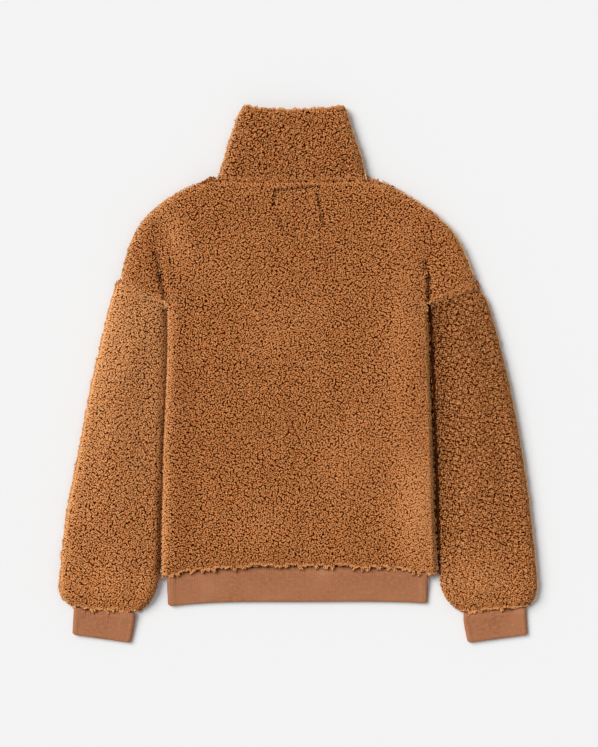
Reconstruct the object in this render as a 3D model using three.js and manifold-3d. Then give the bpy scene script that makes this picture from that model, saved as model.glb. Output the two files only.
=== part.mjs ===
// A zip sherpa fleece, laid flat on its front with its back up.
// Millimetres, +X across to the right sleeve, +Y up to the collar, +Z up from the surface it lies on.
// The origin is on that surface, in the middle of the fleece.

import * as THREE from "three";
import { mergeVertices } from "three/addons/utils/BufferGeometryUtils.js";
import Module from "manifold-3d";

const wasm = await Module();
wasm.setup();

// ---- Driving dimensions ----

const seamGap = 0.3; // between two pieces that are sewn together
const neckGap = 0.7; // the same at the neck seam, measured up the garment where the neckline slopes
const sherpaWall = 9.5; // knitted backing and the reach of its pile
const ribWall = 3; // rib folded double
const tapeWall = 1;
const leastHollow = 0.6; // between the upper and the lower layer
const mostHollow = 3;
const sleeveClear = 0.6; // from the side of the body to the sleeve that lies beside it
const sherpaRoll = 19; // how far in from its edge a sherpa layer is still rounding over
const ribRoll = 5;
const armholeDip = 3; // how much lower the pile lies along the armhole seam

// Shoulder point and underarm corner of each armhole, where the sleeve is sewn on.
const armhole = {
  left: { shoulder: [-258, 133], under: [-193, 106] },
  right: { shoulder: [257.5, 132], under: [189, 102] },
};
const armholeRows = 4; // body sections from the shoulder point to the underarm corner
const sleeveHeadTop = 18.5; // how high the sleeve lies along its armhole seam
const sleeveStep = 5; // the sleeve's pile stands out this far past the shoulder point

// Names the columns of a table, one object for each row.
function table(columns, rows) {
  const names = columns.split(" ");
  return rows.map((row) => Object.fromEntries(names.map((name, i) => [name, row[i]])));
}

// Sections of the body from the neck to the hem: its edges, their heights up the garment, the middle of
// the back and of the front there, and how high the back lies above the surface.
const shoulderSections = table("left right leftY rightY backY frontY top", [
  [-117, 100, 280, 280, 277, 236, 16.5],
  [-139, 121, 278, 279, 268, 229, 20],
  [-163, 139, 270, 270, 259, 221, 22],
  [-193, 172, 251, 251, 245, 208, 22.5],
  [-217, 199, 231, 231, 227, 194, 22.5],
  [-234.5, 222.5, 209, 209, 208, 180, 22.5],
  [-245.5, 237.5, 185, 185, 186, 165, 22.5],
  [-253, 248.5, 159, 159, 163, 149, 22.5],
]);
const sideSections = table("left right leftY rightY backY frontY top", [
  [-190.5, 191.5, 84, 82, 90, 88, 23],
  [-190, 194, 50, 50, 56, 56, 23],
  [-190.5, 194, 14, 14, 17, 17, 23],
  [-192, 195.5, -25, -25, -23, -23, 23],
  [-193.5, 198, -67, -67, -65, -65, 23],
  [-195, 200, -110, -110, -108, -108, 23],
  [-195.5, 201.5, -155, -155, -151, -151, 23],
  [-197, 202, -199, -199, -193, -193, 23],
  [-197.5, 203, -236, -235, -228, -228, 23],
  [-198, 204, -262, -260, -252, -252, 22.5],
  [-197.5, 203.5, -279, -276, -267, -267, 21],
  [-196, 201, -288, -284, -275, -275, 18.5],
  [-193, 196, -293, -289, -279, -279, 14.5],
]);

// Sections of both sleeves, from just below the armhole to the cuff seam: the outer edges and how far in
// from the body the inner edge lies, with the height and the wall of the cloth.
const sleeveSections = table("left right outerY innerY beside top wall", [
  [-271.5, 273.5, 104, 88, 0, 21, 9.5],
  [-279.5, 283, 74, 62, 0, 22, 9.5],
  [-289.5, 295, 29, 22, 0, 22.5, 9.5],
  [-300, 306, -16, -20, 0, 22.5, 9.5],
  [-309, 315, -62, -64, 0, 22.5, 9.5],
  [-317.5, 323.5, -109, -110, 0, 22.5, 9.5],
  [-326.5, 330.5, -155, -156, 0, 22.5, 9.5],
  [-336, 336.5, -201, -202, 0, 22.5, 9.5],
  [-341.5, 341.5, -247, -244, 0, 22.5, 9.5],
  [-345, 345.5, -287, -276, 1, 22.5, 9.5],
  [-346.5, 346.5, -311, -304, 8, 21, 9.5],
  [-342, 343, -327, -325, 15, 18, 8.5],
  [-333, 336, -335, -338, 26, 14, 6],
  [-324, 329, -338, -346, 40, 10.5, 4.5],
]);

// Sections of the cuffs: how far below the sleeve's end each edge lies and how far it has moved in.
const cuffSections = table("outerDrop innerDrop outerIn innerIn base top", [
  [0.3, 0.3, 1.5, 1, 1.6, 9.4],
  [9, 11, -1, 2.5, 0.6, 8.2],
  [25, 29, -2.5, 5.5, 0, 7.2],
  [40, 44, -3.5, 9, 0, 6.8],
]);

// Sections of the waistband: drop below the hem, edges, base and top.
const bandSections = table("left right sideDrop middleDrop base top", [
  [-190.5, 188.5, 0.3, 0.3, 2.4, 10.4],
  [-190, 188, 10, 12, 1, 8.8],
  [-189.5, 187.5, 28, 33, 0, 7.4],
  [-189, 187, 45, 51.5, 0, 6.8],
]);

// Sections of the collar from the neck seam to its open top: height of the edge above the neck seam.
const collarSections = table("rise left right middleRise top", [
  [neckGap, -117, 100, neckGap, 16.5],
  [7, -115.5, 98.5, 6, 20],
  [20, -112, 95, 20, 22],
  [38, -106, 90.5, 37, 22.5],
  [60, -99.5, 83.5, 58, 22.5],
  [82, -92.5, 76, 78, 22.5],
  [98, -87, 72, 93, 22],
  [106, -82.5, 69, 101, 20],
  [111.5, -77.5, 64, 106, 16.5],
]);

// Soft troughs and ridges of the back: a line from one end to the other, its half width and its rise.
const backFolds = table("fromX fromY toX toY halfWidth rise", [
  [146, 210, 154, -250, 30, 3.2], // ridge down the right side
  [-158, 120, -152, -280, 17, -2.4], // trough beside the left edge
  [-184, 110, -186, -285, 10, 1.4], // raised left edge
  [4, 180, 6, -270, 26, -1.3], // middle of the back
  [-208, 205, -188, 100, 10, -3.4], // left shoulder, above the armhole
  [198, 190, 184, 95, 13, -3.2], // right shoulder, above the armhole
  [-80, -200, -25, -240, 30, 1.5], // low on the back
  [133, -255, 150, -285, 26, -2.2], // right corner of the hem
]);
const sleeveFolds = table("fromX fromY toX toY halfWidth rise", [
  [236, 70, 268, -150, 20, 1.8],
  [218, 60, 226, -230, 12, -2],
  [300, -120, 318, -290, 18, -1.8],
]);

// Columns across a layer, upper and lower.
// The collar has the columns of the back and of the front, so that they meet along the neck seam.
const columns = {
  back: 24,
  front: 16,
  collar: [24, 16],
  sleeve: [12, 9],
  cuff: [8, 6],
  band: [18, 12],
};

// The zip runs straight down the front from the top of the collar.
const zip = {
  x: -7,
  top: 381,
  length: 250,
  slitHalf: 7,
  teethHalf: 1.6,
  teethWall: 2.2,
  tapeMiddle: 6.8, // height of the tape's middle above the surface
  tail: 8, // tape below the last tooth
};
const slider = {
  width: 8.6,
  length: 11,
  belowTop: 4, // from the top of the zip
  wall: 1.1,
  channel: 2.8, // the teeth run in it
  slot: 1.6, // the tapes leave through it
  lip: 0.8,
  postWidth: 3,
  postLength: 4.4,
};
const crown = { length: 5.2, window: 3.6, width: 1.8, bar: 1, reach: 2.9 }; // the loop on the slider
const pull = {
  wall: 1.2,
  width: 6,
  length: 24,
  shoulder: 1.5, // from the eye to the tab's full width
  eyeWidth: 2.6,
  eyeLength: 3.4,
  armWidth: 1.5,
  holeRadius: 1.2,
  holeIn: 0.8, // from the middle of the round end
};

// ---- Sections to walls ----

const mix = (a, b, t) => a + (b - a) * t;
const clamp = (value, low, high) => Math.min(Math.max(value, low), high);

// Columns lie closer together near both edges, where the cloth rounds over.
function across(i, count) {
  const even = i / count;
  return mix(even, (1 - Math.cos(Math.PI * even)) / 2, 0.7);
}

// A quarter ellipse: 0 at the edge, 1 from the end of the roll inwards.
function rolled(distance, roll) {
  const q = clamp(distance / roll, 0, 1);
  return Math.sqrt(1 - (1 - q) ** 2);
}

// 0 in the middle of a section, 1 at either end.
function outwards({ left, right }, x) {
  return Math.min(Math.abs((2 * x - left - right) / (right - left)), 1);
}

// The place of a section up the garment at x, from its middle to its two ends.
function heightAlong(section, x) {
  const end = 2 * x < section.left + section.right ? section.leftY : section.rightY;
  return mix(section.middleY, end, outwards(section, x) ** 3);
}

function foldRise(folds, x, y) {
  let rise = 0;
  for (const fold of folds) {
    const dx = fold.toX - fold.fromX;
    const dy = fold.toY - fold.fromY;
    const along = clamp(((x - fold.fromX) * dx + (y - fold.fromY) * dy) / (dx * dx + dy * dy), 0, 1);
    const away = Math.hypot(x - fold.fromX - along * dx, y - fold.fromY - along * dy);
    rise += fold.rise * Math.exp(-((away / fold.halfWidth) ** 2));
  }
  return rise;
}

// Where the outer and inner faces of one layer lie in a section, in its middle and at a square-cut edge,
// and where both meet at an edge that is closed by a seam or a fold.
function faces(section, upper, fold, gap) {
  const { base = 0, wall, top } = section;
  const floor = base + wall;
  const ceiling = (outer) => clamp(outer - wall, floor + leastHollow, floor + mostHollow);
  const seam = floor + leastHollow / 2 + (upper ? gap / 2 : -gap / 2);
  if (!upper) return { outer: base, inner: floor, outerCut: base, innerCut: floor, seam };
  const outer = top + fold;
  return { outer, inner: ceiling(outer), outerCut: top - armholeDip, innerCut: ceiling(top), seam };
}

// The outer and inner points of one layer of a section, from its left edge to its right edge.
// A closed edge (1) rounds to the middle of the two layers, and an open one (0) is cut square.
function layer(section, count, upper, { roll, folds = [], gap = 0 }) {
  const { left, right, lineY, closedLeft = 1, closedRight = 1 } = section;
  const outer = [];
  const inner = [];
  for (let i = 0; i <= count; i++) {
    const share = across(i, count);
    const closed = share < 0.5 ? closedLeft : closedRight;
    const x = mix(left, right, share);
    const fromEdge = Math.min(x - left, right - x);
    const inset = section.wall * closed * clamp(1 - fromEdge / (2 * roll), 0, 1);
    const innerX = share < 0.5 ? x + inset : x - inset;
    const round = rolled(fromEdge, roll);
    const face = faces(section, upper, foldRise(folds, x, lineY(x)) * round, gap);
    const outerEdge = mix(face.outerCut, face.seam, closed);
    const innerEdge = mix(face.innerCut, face.seam, closed);
    outer.push(new THREE.Vector3(x, lineY(x), mix(outerEdge, face.outer, round)));
    inner.push(new THREE.Vector3(innerX, lineY(innerX), mix(innerEdge, face.inner, round)));
  }
  return { outer, inner };
}

// A tube's section: over the upper layer from left to right, and back along the lower one.
function ring(section, [upperCount, lowerCount], options) {
  const upper = layer(section, upperCount, true, options);
  const lowerSection = { ...section, lineY: section.lowerLineY ?? section.lineY };
  const lower = layer(lowerSection, lowerCount, false, options);
  const around = (over, under) => [...over, ...under.reverse().slice(1, -1)];
  return { outer: around(upper.outer, lower.outer), inner: around(upper.inner, lower.inner) };
}

// Closes rows of outer and inner points into one solid wall. A tube's last column meets its first.
function wallOf(rows, tube) {
  const width = rows[0].outer.length;
  const points = rows.flatMap((row) => [...row.outer, ...row.inner]);
  const corners = [];
  const at = (row, column, side) => (row * 2 + side) * width + (column % width);
  const quad = (a, b, c, d) => corners.push(a, b, c, a, c, d);
  const lastRow = rows.length - 1;
  const steps = tube ? width : width - 1;
  for (let c = 0; c < steps; c++) {
    for (let r = 0; r < lastRow; r++) {
      quad(at(r, c, 0), at(r + 1, c, 0), at(r + 1, c + 1, 0), at(r, c + 1, 0));
      quad(at(r, c, 1), at(r, c + 1, 1), at(r + 1, c + 1, 1), at(r + 1, c, 1));
    }
    quad(at(0, c, 0), at(0, c + 1, 0), at(0, c + 1, 1), at(0, c, 1));
    quad(at(lastRow, c + 1, 0), at(lastRow, c, 0), at(lastRow, c, 1), at(lastRow, c + 1, 1));
  }
  for (let r = 0; r < lastRow && !tube; r++) {
    quad(at(r + 1, 0, 0), at(r, 0, 0), at(r, 0, 1), at(r + 1, 0, 1));
    quad(at(r, steps, 0), at(r + 1, steps, 0), at(r + 1, steps, 1), at(r, steps, 1));
  }
  const geometry = new THREE.BufferGeometry().setFromPoints(points);
  geometry.setIndex(corners);
  return geometry;
}

// ---- Booleans, on closed geometries ----

function toSolid(geometry) {
  const bare = new THREE.BufferGeometry();
  bare.setAttribute("position", geometry.getAttribute("position"));
  bare.setIndex(geometry.index);
  const merged = mergeVertices(bare, 1e-3);
  const mesh = new wasm.Mesh({
    numProp: 3,
    vertProperties: merged.attributes.position.array,
    triVerts: new Uint32Array(merged.index.array),
  });
  return new wasm.Manifold(mesh);
}

function fromSolid(solid) {
  const mesh = solid.getMesh();
  const geometry = new THREE.BufferGeometry();
  geometry.setAttribute("position", new THREE.BufferAttribute(new Float32Array(mesh.vertProperties), 3));
  geometry.setIndex(new THREE.BufferAttribute(new Uint32Array(mesh.triVerts), 1));
  return geometry;
}

function boxAt([lowX, lowY, lowZ], [highX, highY, highZ]) {
  const box = new THREE.BoxGeometry(highX - lowX, highY - lowY, highZ - lowZ);
  return box.translate((lowX + highX) / 2, (lowY + highY) / 2, (lowZ + highZ) / 2);
}

function join(...pieces) {
  return fromSolid(pieces.map(toSolid).reduce((whole, piece) => whole.add(piece)));
}

function cut(piece, ...tools) {
  return fromSolid(tools.map(toSolid).reduce((rest, tool) => rest.subtract(tool), toSolid(piece)));
}

// ---- Body ----

// The sections along the armhole seam run straight from the shoulder point to the underarm corner.
function armholeSections() {
  const first = shoulderSections.at(-1);
  const last = sideSections[0];
  return Array.from({ length: armholeRows }, (_, i) => {
    const share = i / (armholeRows - 1);
    const along = ({ shoulder, under }, k) => mix(shoulder[k], under[k], share);
    const closed = i === 0 || i === armholeRows - 1 ? 1 : 0;
    const down = (i + 1) / (armholeRows + 1);
    return {
      left: along(armhole.left, 0),
      leftY: along(armhole.left, 1),
      right: along(armhole.right, 0),
      rightY: along(armhole.right, 1),
      backY: mix(first.backY, last.backY, down),
      frontY: mix(first.frontY, last.frontY, down),
      top: first.top,
      closedLeft: closed,
      closedRight: closed,
    };
  });
}

const bodySections = [...shoulderSections, ...armholeSections(), ...sideSections];

// The body's sections for one layer, whose middle lies further down the front than down the back.
function layerSections(middle) {
  return bodySections.map((section) => {
    const line = { ...section, middleY: section[middle] };
    return { ...line, wall: sherpaWall, lineY: (x) => heightAlong(line, x) };
  });
}

function body(upper, count) {
  const options = { roll: sherpaRoll, gap: seamGap, folds: upper ? backFolds : [] };
  const rows = layerSections(upper ? "backY" : "frontY").map((section) => {
    const { outer, inner } = layer(section, count, upper, options);
    return upper ? { outer, inner } : { outer: outer.reverse(), inner: inner.reverse() };
  });
  return wallOf(rows, false);
}

// The slit that the zip closes, through the lower layer alone.
function zipSlit() {
  const bottom = zip.top - zip.length - zip.tail;
  const above = 40; // past the top of the collar
  return boxAt(
    [zip.x - zip.slitHalf, bottom, -5],
    [zip.x + zip.slitHalf, zip.top + above, sherpaWall + leastHollow / 2],
  );
}

// ---- Sleeves and cuffs ----

// How far out the side of the body is at a height, by its straight runs between sections.
function bodySide(side, y) {
  const heights = side + "Y";
  const below = sideSections.findIndex((section) => section[heights] < y);
  if (below < 0) return sideSections.at(-1)[side];
  const under = sideSections[below];
  const [underarmX, underarmY] = armhole[side].under;
  const over = below ? sideSections[below - 1] : { [side]: underarmX, [heights]: underarmY };
  const share = clamp((over[heights] - y) / (over[heights] - under[heights]), 0, 1);
  return mix(over[side], under[side], share);
}

// The first section of a sleeve follows the armhole seam, and its pile stands past the shoulder point.
function sleeveHead(side) {
  const [shoulderX, shoulderY] = armhole[side].shoulder;
  const [underX, underY] = armhole[side].under;
  const length = Math.hypot(underX - shoulderX, underY - shoulderY);
  const alongX = (underX - shoulderX) / length;
  const alongY = (underY - shoulderY) / length;
  const out = Math.sign(alongX);
  const [awayX, awayY] = [out * alongY, -out * alongX];
  const back = (sleeveClear - Math.abs(awayX) * seamGap) / Math.abs(alongX);
  const from = (x, y, step) => [x - alongX * step + awayX * seamGap, y - alongY * step + awayY * seamGap];
  const outer = from(shoulderX, shoulderY, sleeveStep);
  const inner = from(underX, underY, back);
  return { outer, inner, top: sleeveHeadTop, wall: sherpaWall };
}

function sleeveRows(side) {
  const out = side === "left" ? -1 : 1;
  const rows = sleeveSections.map((section) => {
    const beside = section.beside + sleeveClear;
    return {
      outer: [section[side], section.outerY],
      inner: [bodySide(side, section.innerY) + out * beside, section.innerY],
      top: section.top,
      wall: section.wall,
    };
  });
  return [sleeveHead(side), ...rows];
}

// A section from an outer point to an inner point in a straight line, for either side.
function straightSection(side, row) {
  const [first, second] = side === "left" ? [row.outer, row.inner] : [row.inner, row.outer];
  const lineY = (x) => mix(first[1], second[1], (x - first[0]) / (second[0] - first[0]));
  return { left: first[0], right: second[0], base: row.base ?? 0, top: row.top, wall: row.wall, lineY };
}

function sleeve(side) {
  const out = side === "left" ? -1 : 1;
  const folds = sleeveFolds.map((fold) => ({ ...fold, fromX: out * fold.fromX, toX: out * fold.toX }));
  const options = { roll: sherpaRoll, folds };
  const rings = sleeveRows(side).map((row) => ring(straightSection(side, row), columns.sleeve, options));
  return wallOf(rings, true);
}

function cuff(side) {
  const out = side === "left" ? -1 : 1;
  const end = sleeveRows(side).at(-1);
  const rows = cuffSections.map((section) => ({
    outer: [end.outer[0] - out * section.outerIn, end.outer[1] - section.outerDrop],
    inner: [end.inner[0] + out * section.innerIn, end.inner[1] - section.innerDrop],
    base: section.base,
    top: section.top,
    wall: ribWall,
  }));
  const options = { roll: ribRoll };
  return wallOf(rows.map((row) => ring(straightSection(side, row), columns.cuff, options)), true);
}

// ---- Waistband and collar ----

function waistband() {
  const last = bodySections.at(-1);
  const hem = { ...last, middleY: last.backY };
  const rows = bandSections.map((section) => {
    const drop = (x) => mix(section.middleDrop, section.sideDrop, outwards(section, x) ** 2);
    const line = { ...section, wall: ribWall, lineY: (x) => heightAlong(hem, x) - drop(x) };
    return ring(line, columns.band, { roll: ribRoll });
  });
  return wallOf(rows, true);
}

function collar() {
  const last = collarSections.at(-1);
  const seam = (middle) => ({ ...shoulderSections[0], middleY: shoulderSections[0][middle] });
  const rows = collarSections.map((section) => {
    const share = (section.rise - neckGap) / (last.rise - neckGap);
    const rise = (x) => mix(section.middleRise, section.rise, outwards(section, x) ** 3);
    const backY = (x) => heightAlong(seam("backY"), x) + rise(x);
    const frontY = (x) => mix(heightAlong(seam("frontY"), x) + neckGap, backY(x), share);
    const line = { ...section, wall: sherpaWall, lineY: backY, lowerLineY: frontY };
    return ring(line, columns.collar, { roll: sherpaRoll });
  });
  return cut(wallOf(rows.reverse(), true), zipSlit());
}

// ---- Zip ----

const tapeLow = zip.tapeMiddle - tapeWall / 2;
const tapeHigh = zip.tapeMiddle + tapeWall / 2;
const sliderTop = zip.top - slider.belowTop;
const sliderMiddle = sliderTop - slider.length / 2;
const postLow = sliderTop - slider.postLength;

// One half of the zip: its tape, with the row of teeth along its inner edge up to the slider's post.
function zipHalf(side) {
  const bottom = zip.top - zip.length;
  const spanX = (a, b) => [zip.x + side * a, zip.x + side * b].sort((p, q) => p - q);
  const [tapeFrom, tapeTo] = spanX(zip.teethHalf + seamGap, zip.slitHalf - seamGap);
  const [teethFrom, teethTo] = spanX(seamGap / 2, zip.teethHalf + 2 * seamGap);
  const tape = boxAt([tapeFrom, bottom - zip.tail + seamGap, tapeLow], [tapeTo, zip.top, tapeHigh]);
  const teeth = boxAt(
    [teethFrom, bottom, zip.tapeMiddle - zip.teethWall / 2],
    [teethTo, postLow - seamGap, zip.tapeMiddle + zip.teethWall / 2],
  );
  return join(tape, teeth);
}

// Two plates joined by a post, with lips along both sides and a crown that holds the pull.
function zipSlider() {
  const half = slider.width / 2;
  const thick = slider.channel / 2 + slider.wall;
  const middle = zip.tapeMiddle;
  const block = boxAt(
    [zip.x - half, sliderTop - slider.length, middle - thick],
    [zip.x + half, sliderTop, middle + thick],
  );
  const channel = boxAt(
    [zip.x - half + slider.lip, sliderTop - slider.length - 1, middle - slider.channel / 2],
    [zip.x + half - slider.lip, sliderTop + 1, middle + slider.channel / 2],
  );
  const slot = boxAt(
    [zip.x - half - 1, sliderTop - slider.length - 1, middle - slider.slot / 2],
    [zip.x + half + 1, sliderTop + 1, middle + slider.slot / 2],
  );
  const post = boxAt(
    [zip.x - slider.postWidth / 2, postLow, middle - thick + 0.2],
    [zip.x + slider.postWidth / 2, sliderTop - 0.6, middle + thick - 0.2],
  );
  const arch = boxAt(
    [zip.x - crown.width / 2, sliderMiddle - crown.length / 2, middle - thick - crown.reach],
    [zip.x + crown.width / 2, sliderMiddle + crown.length / 2, middle - thick + 0.2],
  );
  const window = boxAt(
    [zip.x - crown.width, sliderMiddle - crown.window / 2, middle - thick - crown.reach + crown.bar],
    [zip.x + crown.width, sliderMiddle + crown.window / 2, middle - thick],
  );
  return join(cut(block, channel, slot), post, cut(arch, window));
}

// The pull tab: an eye round the crown, and a tab with a round hole near its end.
// Its hinge line runs through its origin.
function zipPull() {
  const halfWidth = pull.width / 2;
  const neck = pull.eyeLength + pull.armWidth;
  const outline = new THREE.Shape();
  const eyeHalf = pull.eyeWidth / 2 + pull.armWidth;
  outline.moveTo(-eyeHalf, pull.wall / 2);
  outline.lineTo(-eyeHalf, -neck);
  outline.lineTo(-halfWidth, -neck - pull.shoulder);
  outline.lineTo(-halfWidth, -pull.length + halfWidth);
  outline.absarc(0, -pull.length + halfWidth, halfWidth, Math.PI, 2 * Math.PI, false);
  outline.lineTo(halfWidth, -neck - pull.shoulder);
  outline.lineTo(eyeHalf, -neck);
  outline.lineTo(eyeHalf, pull.wall / 2);
  outline.closePath();
  const eye = new THREE.Path();
  eye.moveTo(-pull.eyeWidth / 2, -pull.wall / 2);
  eye.lineTo(pull.eyeWidth / 2, -pull.wall / 2);
  eye.lineTo(pull.eyeWidth / 2, -pull.eyeLength);
  eye.lineTo(-pull.eyeWidth / 2, -pull.eyeLength);
  eye.closePath();
  const hole = new THREE.Path();
  hole.absarc(0, -pull.length + halfWidth + pull.holeIn, pull.holeRadius, 0, 2 * Math.PI, true);
  outline.holes.push(eye, hole);
  const options = { depth: pull.wall, bevelEnabled: false, curveSegments: 10 };
  return new THREE.ExtrudeGeometry(outline, options).translate(0, 0, -pull.wall / 2);
}

// ---- The garment ----

const sherpaCloth = new THREE.MeshStandardMaterial({ color: 0x9d6238, roughness: 0.95, metalness: 0 });
const ribCloth = new THREE.MeshStandardMaterial({ color: 0xa66e4b, roughness: 0.9, metalness: 0 });
const tapeCloth = new THREE.MeshStandardMaterial({ color: 0x8a5a3c, roughness: 0.85, metalness: 0 });
const metal = new THREE.MeshStandardMaterial({ color: 0xb08d57, roughness: 0.35, metalness: 1 });

const fleece = new THREE.Group();

function add(name, geometry, material) {
  const mesh = new THREE.Mesh(geometry, material);
  mesh.name = name;
  fleece.add(mesh);
  return mesh;
}

add("back", body(true, columns.back), sherpaCloth);
add("front", cut(body(false, columns.front), zipSlit()), sherpaCloth);
add("collar", collar(), sherpaCloth);
add("sleeve_left", sleeve("left"), sherpaCloth);
add("sleeve_right", sleeve("right"), sherpaCloth);
add("waistband", waistband(), ribCloth);
add("cuff_left", cuff("left"), ribCloth);
add("cuff_right", cuff("right"), ribCloth);
add("zip_tape_left", zipHalf(-1), tapeCloth);
add("zip_tape_right", zipHalf(1), tapeCloth);
add("zip_slider", zipSlider(), metal);

const pullMesh = add("zip_pull", zipPull(), metal);
const hingeHeight = zip.tapeMiddle - slider.channel / 2 - slider.wall - (crown.reach - crown.bar) / 2;
pullMesh.position.set(zip.x, sliderMiddle, hingeHeight);

export default fleece;
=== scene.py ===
# %% [markdown]
# # A zip sherpa fleece, laid flat on its front
#
# The fleece is made of thick pile cloth with a smooth ribbed waistband and cuffs. It lies face down, so
# its back and the backs of both sleeves show, and the zip is underneath.
#
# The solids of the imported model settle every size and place. This lesson dresses them: it reads the form
# of each piece from its solid, lays the cloth on it, and grows the curly pile from that cloth, curl by curl.

# %% Tools and the frame
import math

import bpy
import numpy as np
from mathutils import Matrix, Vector
from mathutils.kdtree import KDTree


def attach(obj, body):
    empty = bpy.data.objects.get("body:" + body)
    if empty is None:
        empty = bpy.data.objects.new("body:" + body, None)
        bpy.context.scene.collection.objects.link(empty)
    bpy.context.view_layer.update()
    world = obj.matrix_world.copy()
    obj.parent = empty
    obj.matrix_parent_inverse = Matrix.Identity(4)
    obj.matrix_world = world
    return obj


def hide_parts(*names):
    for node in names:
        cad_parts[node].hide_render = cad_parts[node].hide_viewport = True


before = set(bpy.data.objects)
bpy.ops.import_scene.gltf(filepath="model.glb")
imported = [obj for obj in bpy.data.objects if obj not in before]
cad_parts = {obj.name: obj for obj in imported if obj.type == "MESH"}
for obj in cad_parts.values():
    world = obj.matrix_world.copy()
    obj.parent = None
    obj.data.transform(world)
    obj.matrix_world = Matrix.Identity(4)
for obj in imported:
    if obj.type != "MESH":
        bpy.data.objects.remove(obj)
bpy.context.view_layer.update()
MM = 0.001
FLOOR_GAP = 0.05                     # no pile or rib reaches lower than this over the floor, millimetres
OUTWARD = {"left": -1, "right": 1}   # the sides of the garment, and the sign of x on each
body_names = ["back", "front", "collar", "sleeve_left", "sleeve_right"]
print("nodes:", sorted(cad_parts))

# %% [markdown]
# ## Camera, floor and light
#
# A garment laid out for a shop is seen from straight above, so the camera looks down from far away, with
# a long lens that keeps the collar and the cuffs at one scale. A wide, soft light from the upper left
# models the pile, and a pale even surround fills its shadows, as a studio's white walls do.

# %% Camera
HIGH = 2.6            # from the floor to the camera, metres
VIEW_LENGTH = 1.079   # what the long side of the picture covers, level with the middle of the cloth
MIDDLE = 0.012        # height of that level above the floor
aim = (0.0010, 0.0006)

camera = bpy.data.objects.new("camera", bpy.data.cameras.new("camera"))
bpy.context.scene.collection.objects.link(camera)
bpy.context.scene.camera = camera
camera.location = (*aim, HIGH)
camera.data.sensor_width = 36
camera.data.lens = camera.data.sensor_width * (HIGH - MIDDLE) / VIEW_LENGTH
print(f"lens {camera.data.lens:.0f} mm, {HIGH} m up")

# %% Floor and light
def new_material(name, **values):
    """A material, and its shader with some of the inputs set, such as Base_Color."""
    made = bpy.data.materials.new(name)
    made.use_nodes = True
    shader = made.node_tree.nodes["Principled BSDF"]
    for key, value in values.items():
        shader.inputs[key.replace("_", " ")].default_value = value
    return made, shader


def soft_sun(name, direction, strength, softness):
    """A far, wide light that comes from a direction. Its softness is the angle that it fills, in degrees."""
    lamp = bpy.data.lights.new(name, "SUN")
    lamp.energy, lamp.angle = strength, math.radians(softness)
    made = bpy.data.objects.new(name, lamp)
    bpy.context.scene.collection.objects.link(made)
    made.rotation_mode = "QUATERNION"
    made.rotation_quaternion = Vector(direction).to_track_quat("Z", "Y")
    return made


FLOOR_HALF = 60   # metres
corners = [(x * FLOOR_HALF, y * FLOOR_HALF, 0) for x, y in ((-1, -1), (1, -1), (1, 1), (-1, 1))]
floor_mesh = bpy.data.meshes.new("floor")
floor_mesh.from_pydata(corners, [], [(0, 1, 2, 3)])
floor = bpy.data.objects.new("floor", floor_mesh)
bpy.context.scene.collection.objects.link(floor)
floor_mesh.materials.append(new_material("floor paper", Base_Color=(0.88, 0.88, 0.88, 1), Roughness=0.9)[0])

soft_sun("window", (-0.62, 0.42, 0.72), 2.9, 38)
surround = bpy.data.worlds.new("surround")
bpy.context.scene.world = surround
surround.use_nodes = True
nodes, links = surround.node_tree.nodes, surround.node_tree.links
fill = nodes["Background"]                     # what lights the cloth from all round
wall = nodes.new("ShaderNodeBackground")       # what the camera sees behind the floor
for part, strength in ((fill, 0.38), (wall, 0.88)):
    part.inputs["Color"].default_value = (1, 1, 1, 1)
    part.inputs["Strength"].default_value = strength
ray, either = nodes.new("ShaderNodeLightPath"), nodes.new("ShaderNodeMixShader")
links.new(ray.outputs["Is Camera Ray"], either.inputs["Fac"])
links.new(fill.outputs["Background"], either.inputs[1])
links.new(wall.outputs["Background"], either.inputs[2])
links.new(either.outputs["Shader"], nodes["World Output"].inputs["Surface"])
bpy.context.scene.view_settings.view_transform = "Standard"
print("floor and light made")

# %% [markdown]
# ## Reading the form of each piece
#
# Each solid is a wall of cloth with an outer and an inner face. To lay new cloth on it, its outer face is
# read as rows of points. A row is the line in which an upright sheet, bent like the nearest seam, cuts the
# solid, and the highest (or, underneath, the lowest) point of that cut is the outer face.
#
# Reading the solids, rather than repeating their tables, keeps both models of one size.

# %% Cutting a solid
TOUCH = 1e-7       # a corner of a face that is nearer to a cut than this counts as past it, millimetres
EDGE_POINTS = 15   # places at which the edge of a solid is measured


def faces_of(node):
    """The triangles of a solid, in millimetres."""
    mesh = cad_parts[node].data
    mesh.calc_loop_triangles()
    points = np.empty(len(mesh.vertices) * 3)
    mesh.vertices.foreach_get("co", points)
    corners = np.empty(len(mesh.loop_triangles) * 3, int)
    mesh.loop_triangles.foreach_get("vertices", corners)
    return points.reshape(-1, 3)[corners].reshape(-1, 3, 3) / MM


solids = {node: faces_of(node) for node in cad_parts}
tape_edges = [solids["zip_tape_" + side][..., 0] for side in OUTWARD]
ZIP_X = (tape_edges[0].min() + tape_edges[1].max()) / 2
SLIT_HALF = (tape_edges[1].max() - tape_edges[0].min()) / 2 + 0.3
print(f"{len(solids)} solids; the slit of the zip is {2 * SLIT_HALF:.1f} mm wide, at x = {ZIP_X:.1f}")


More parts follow.
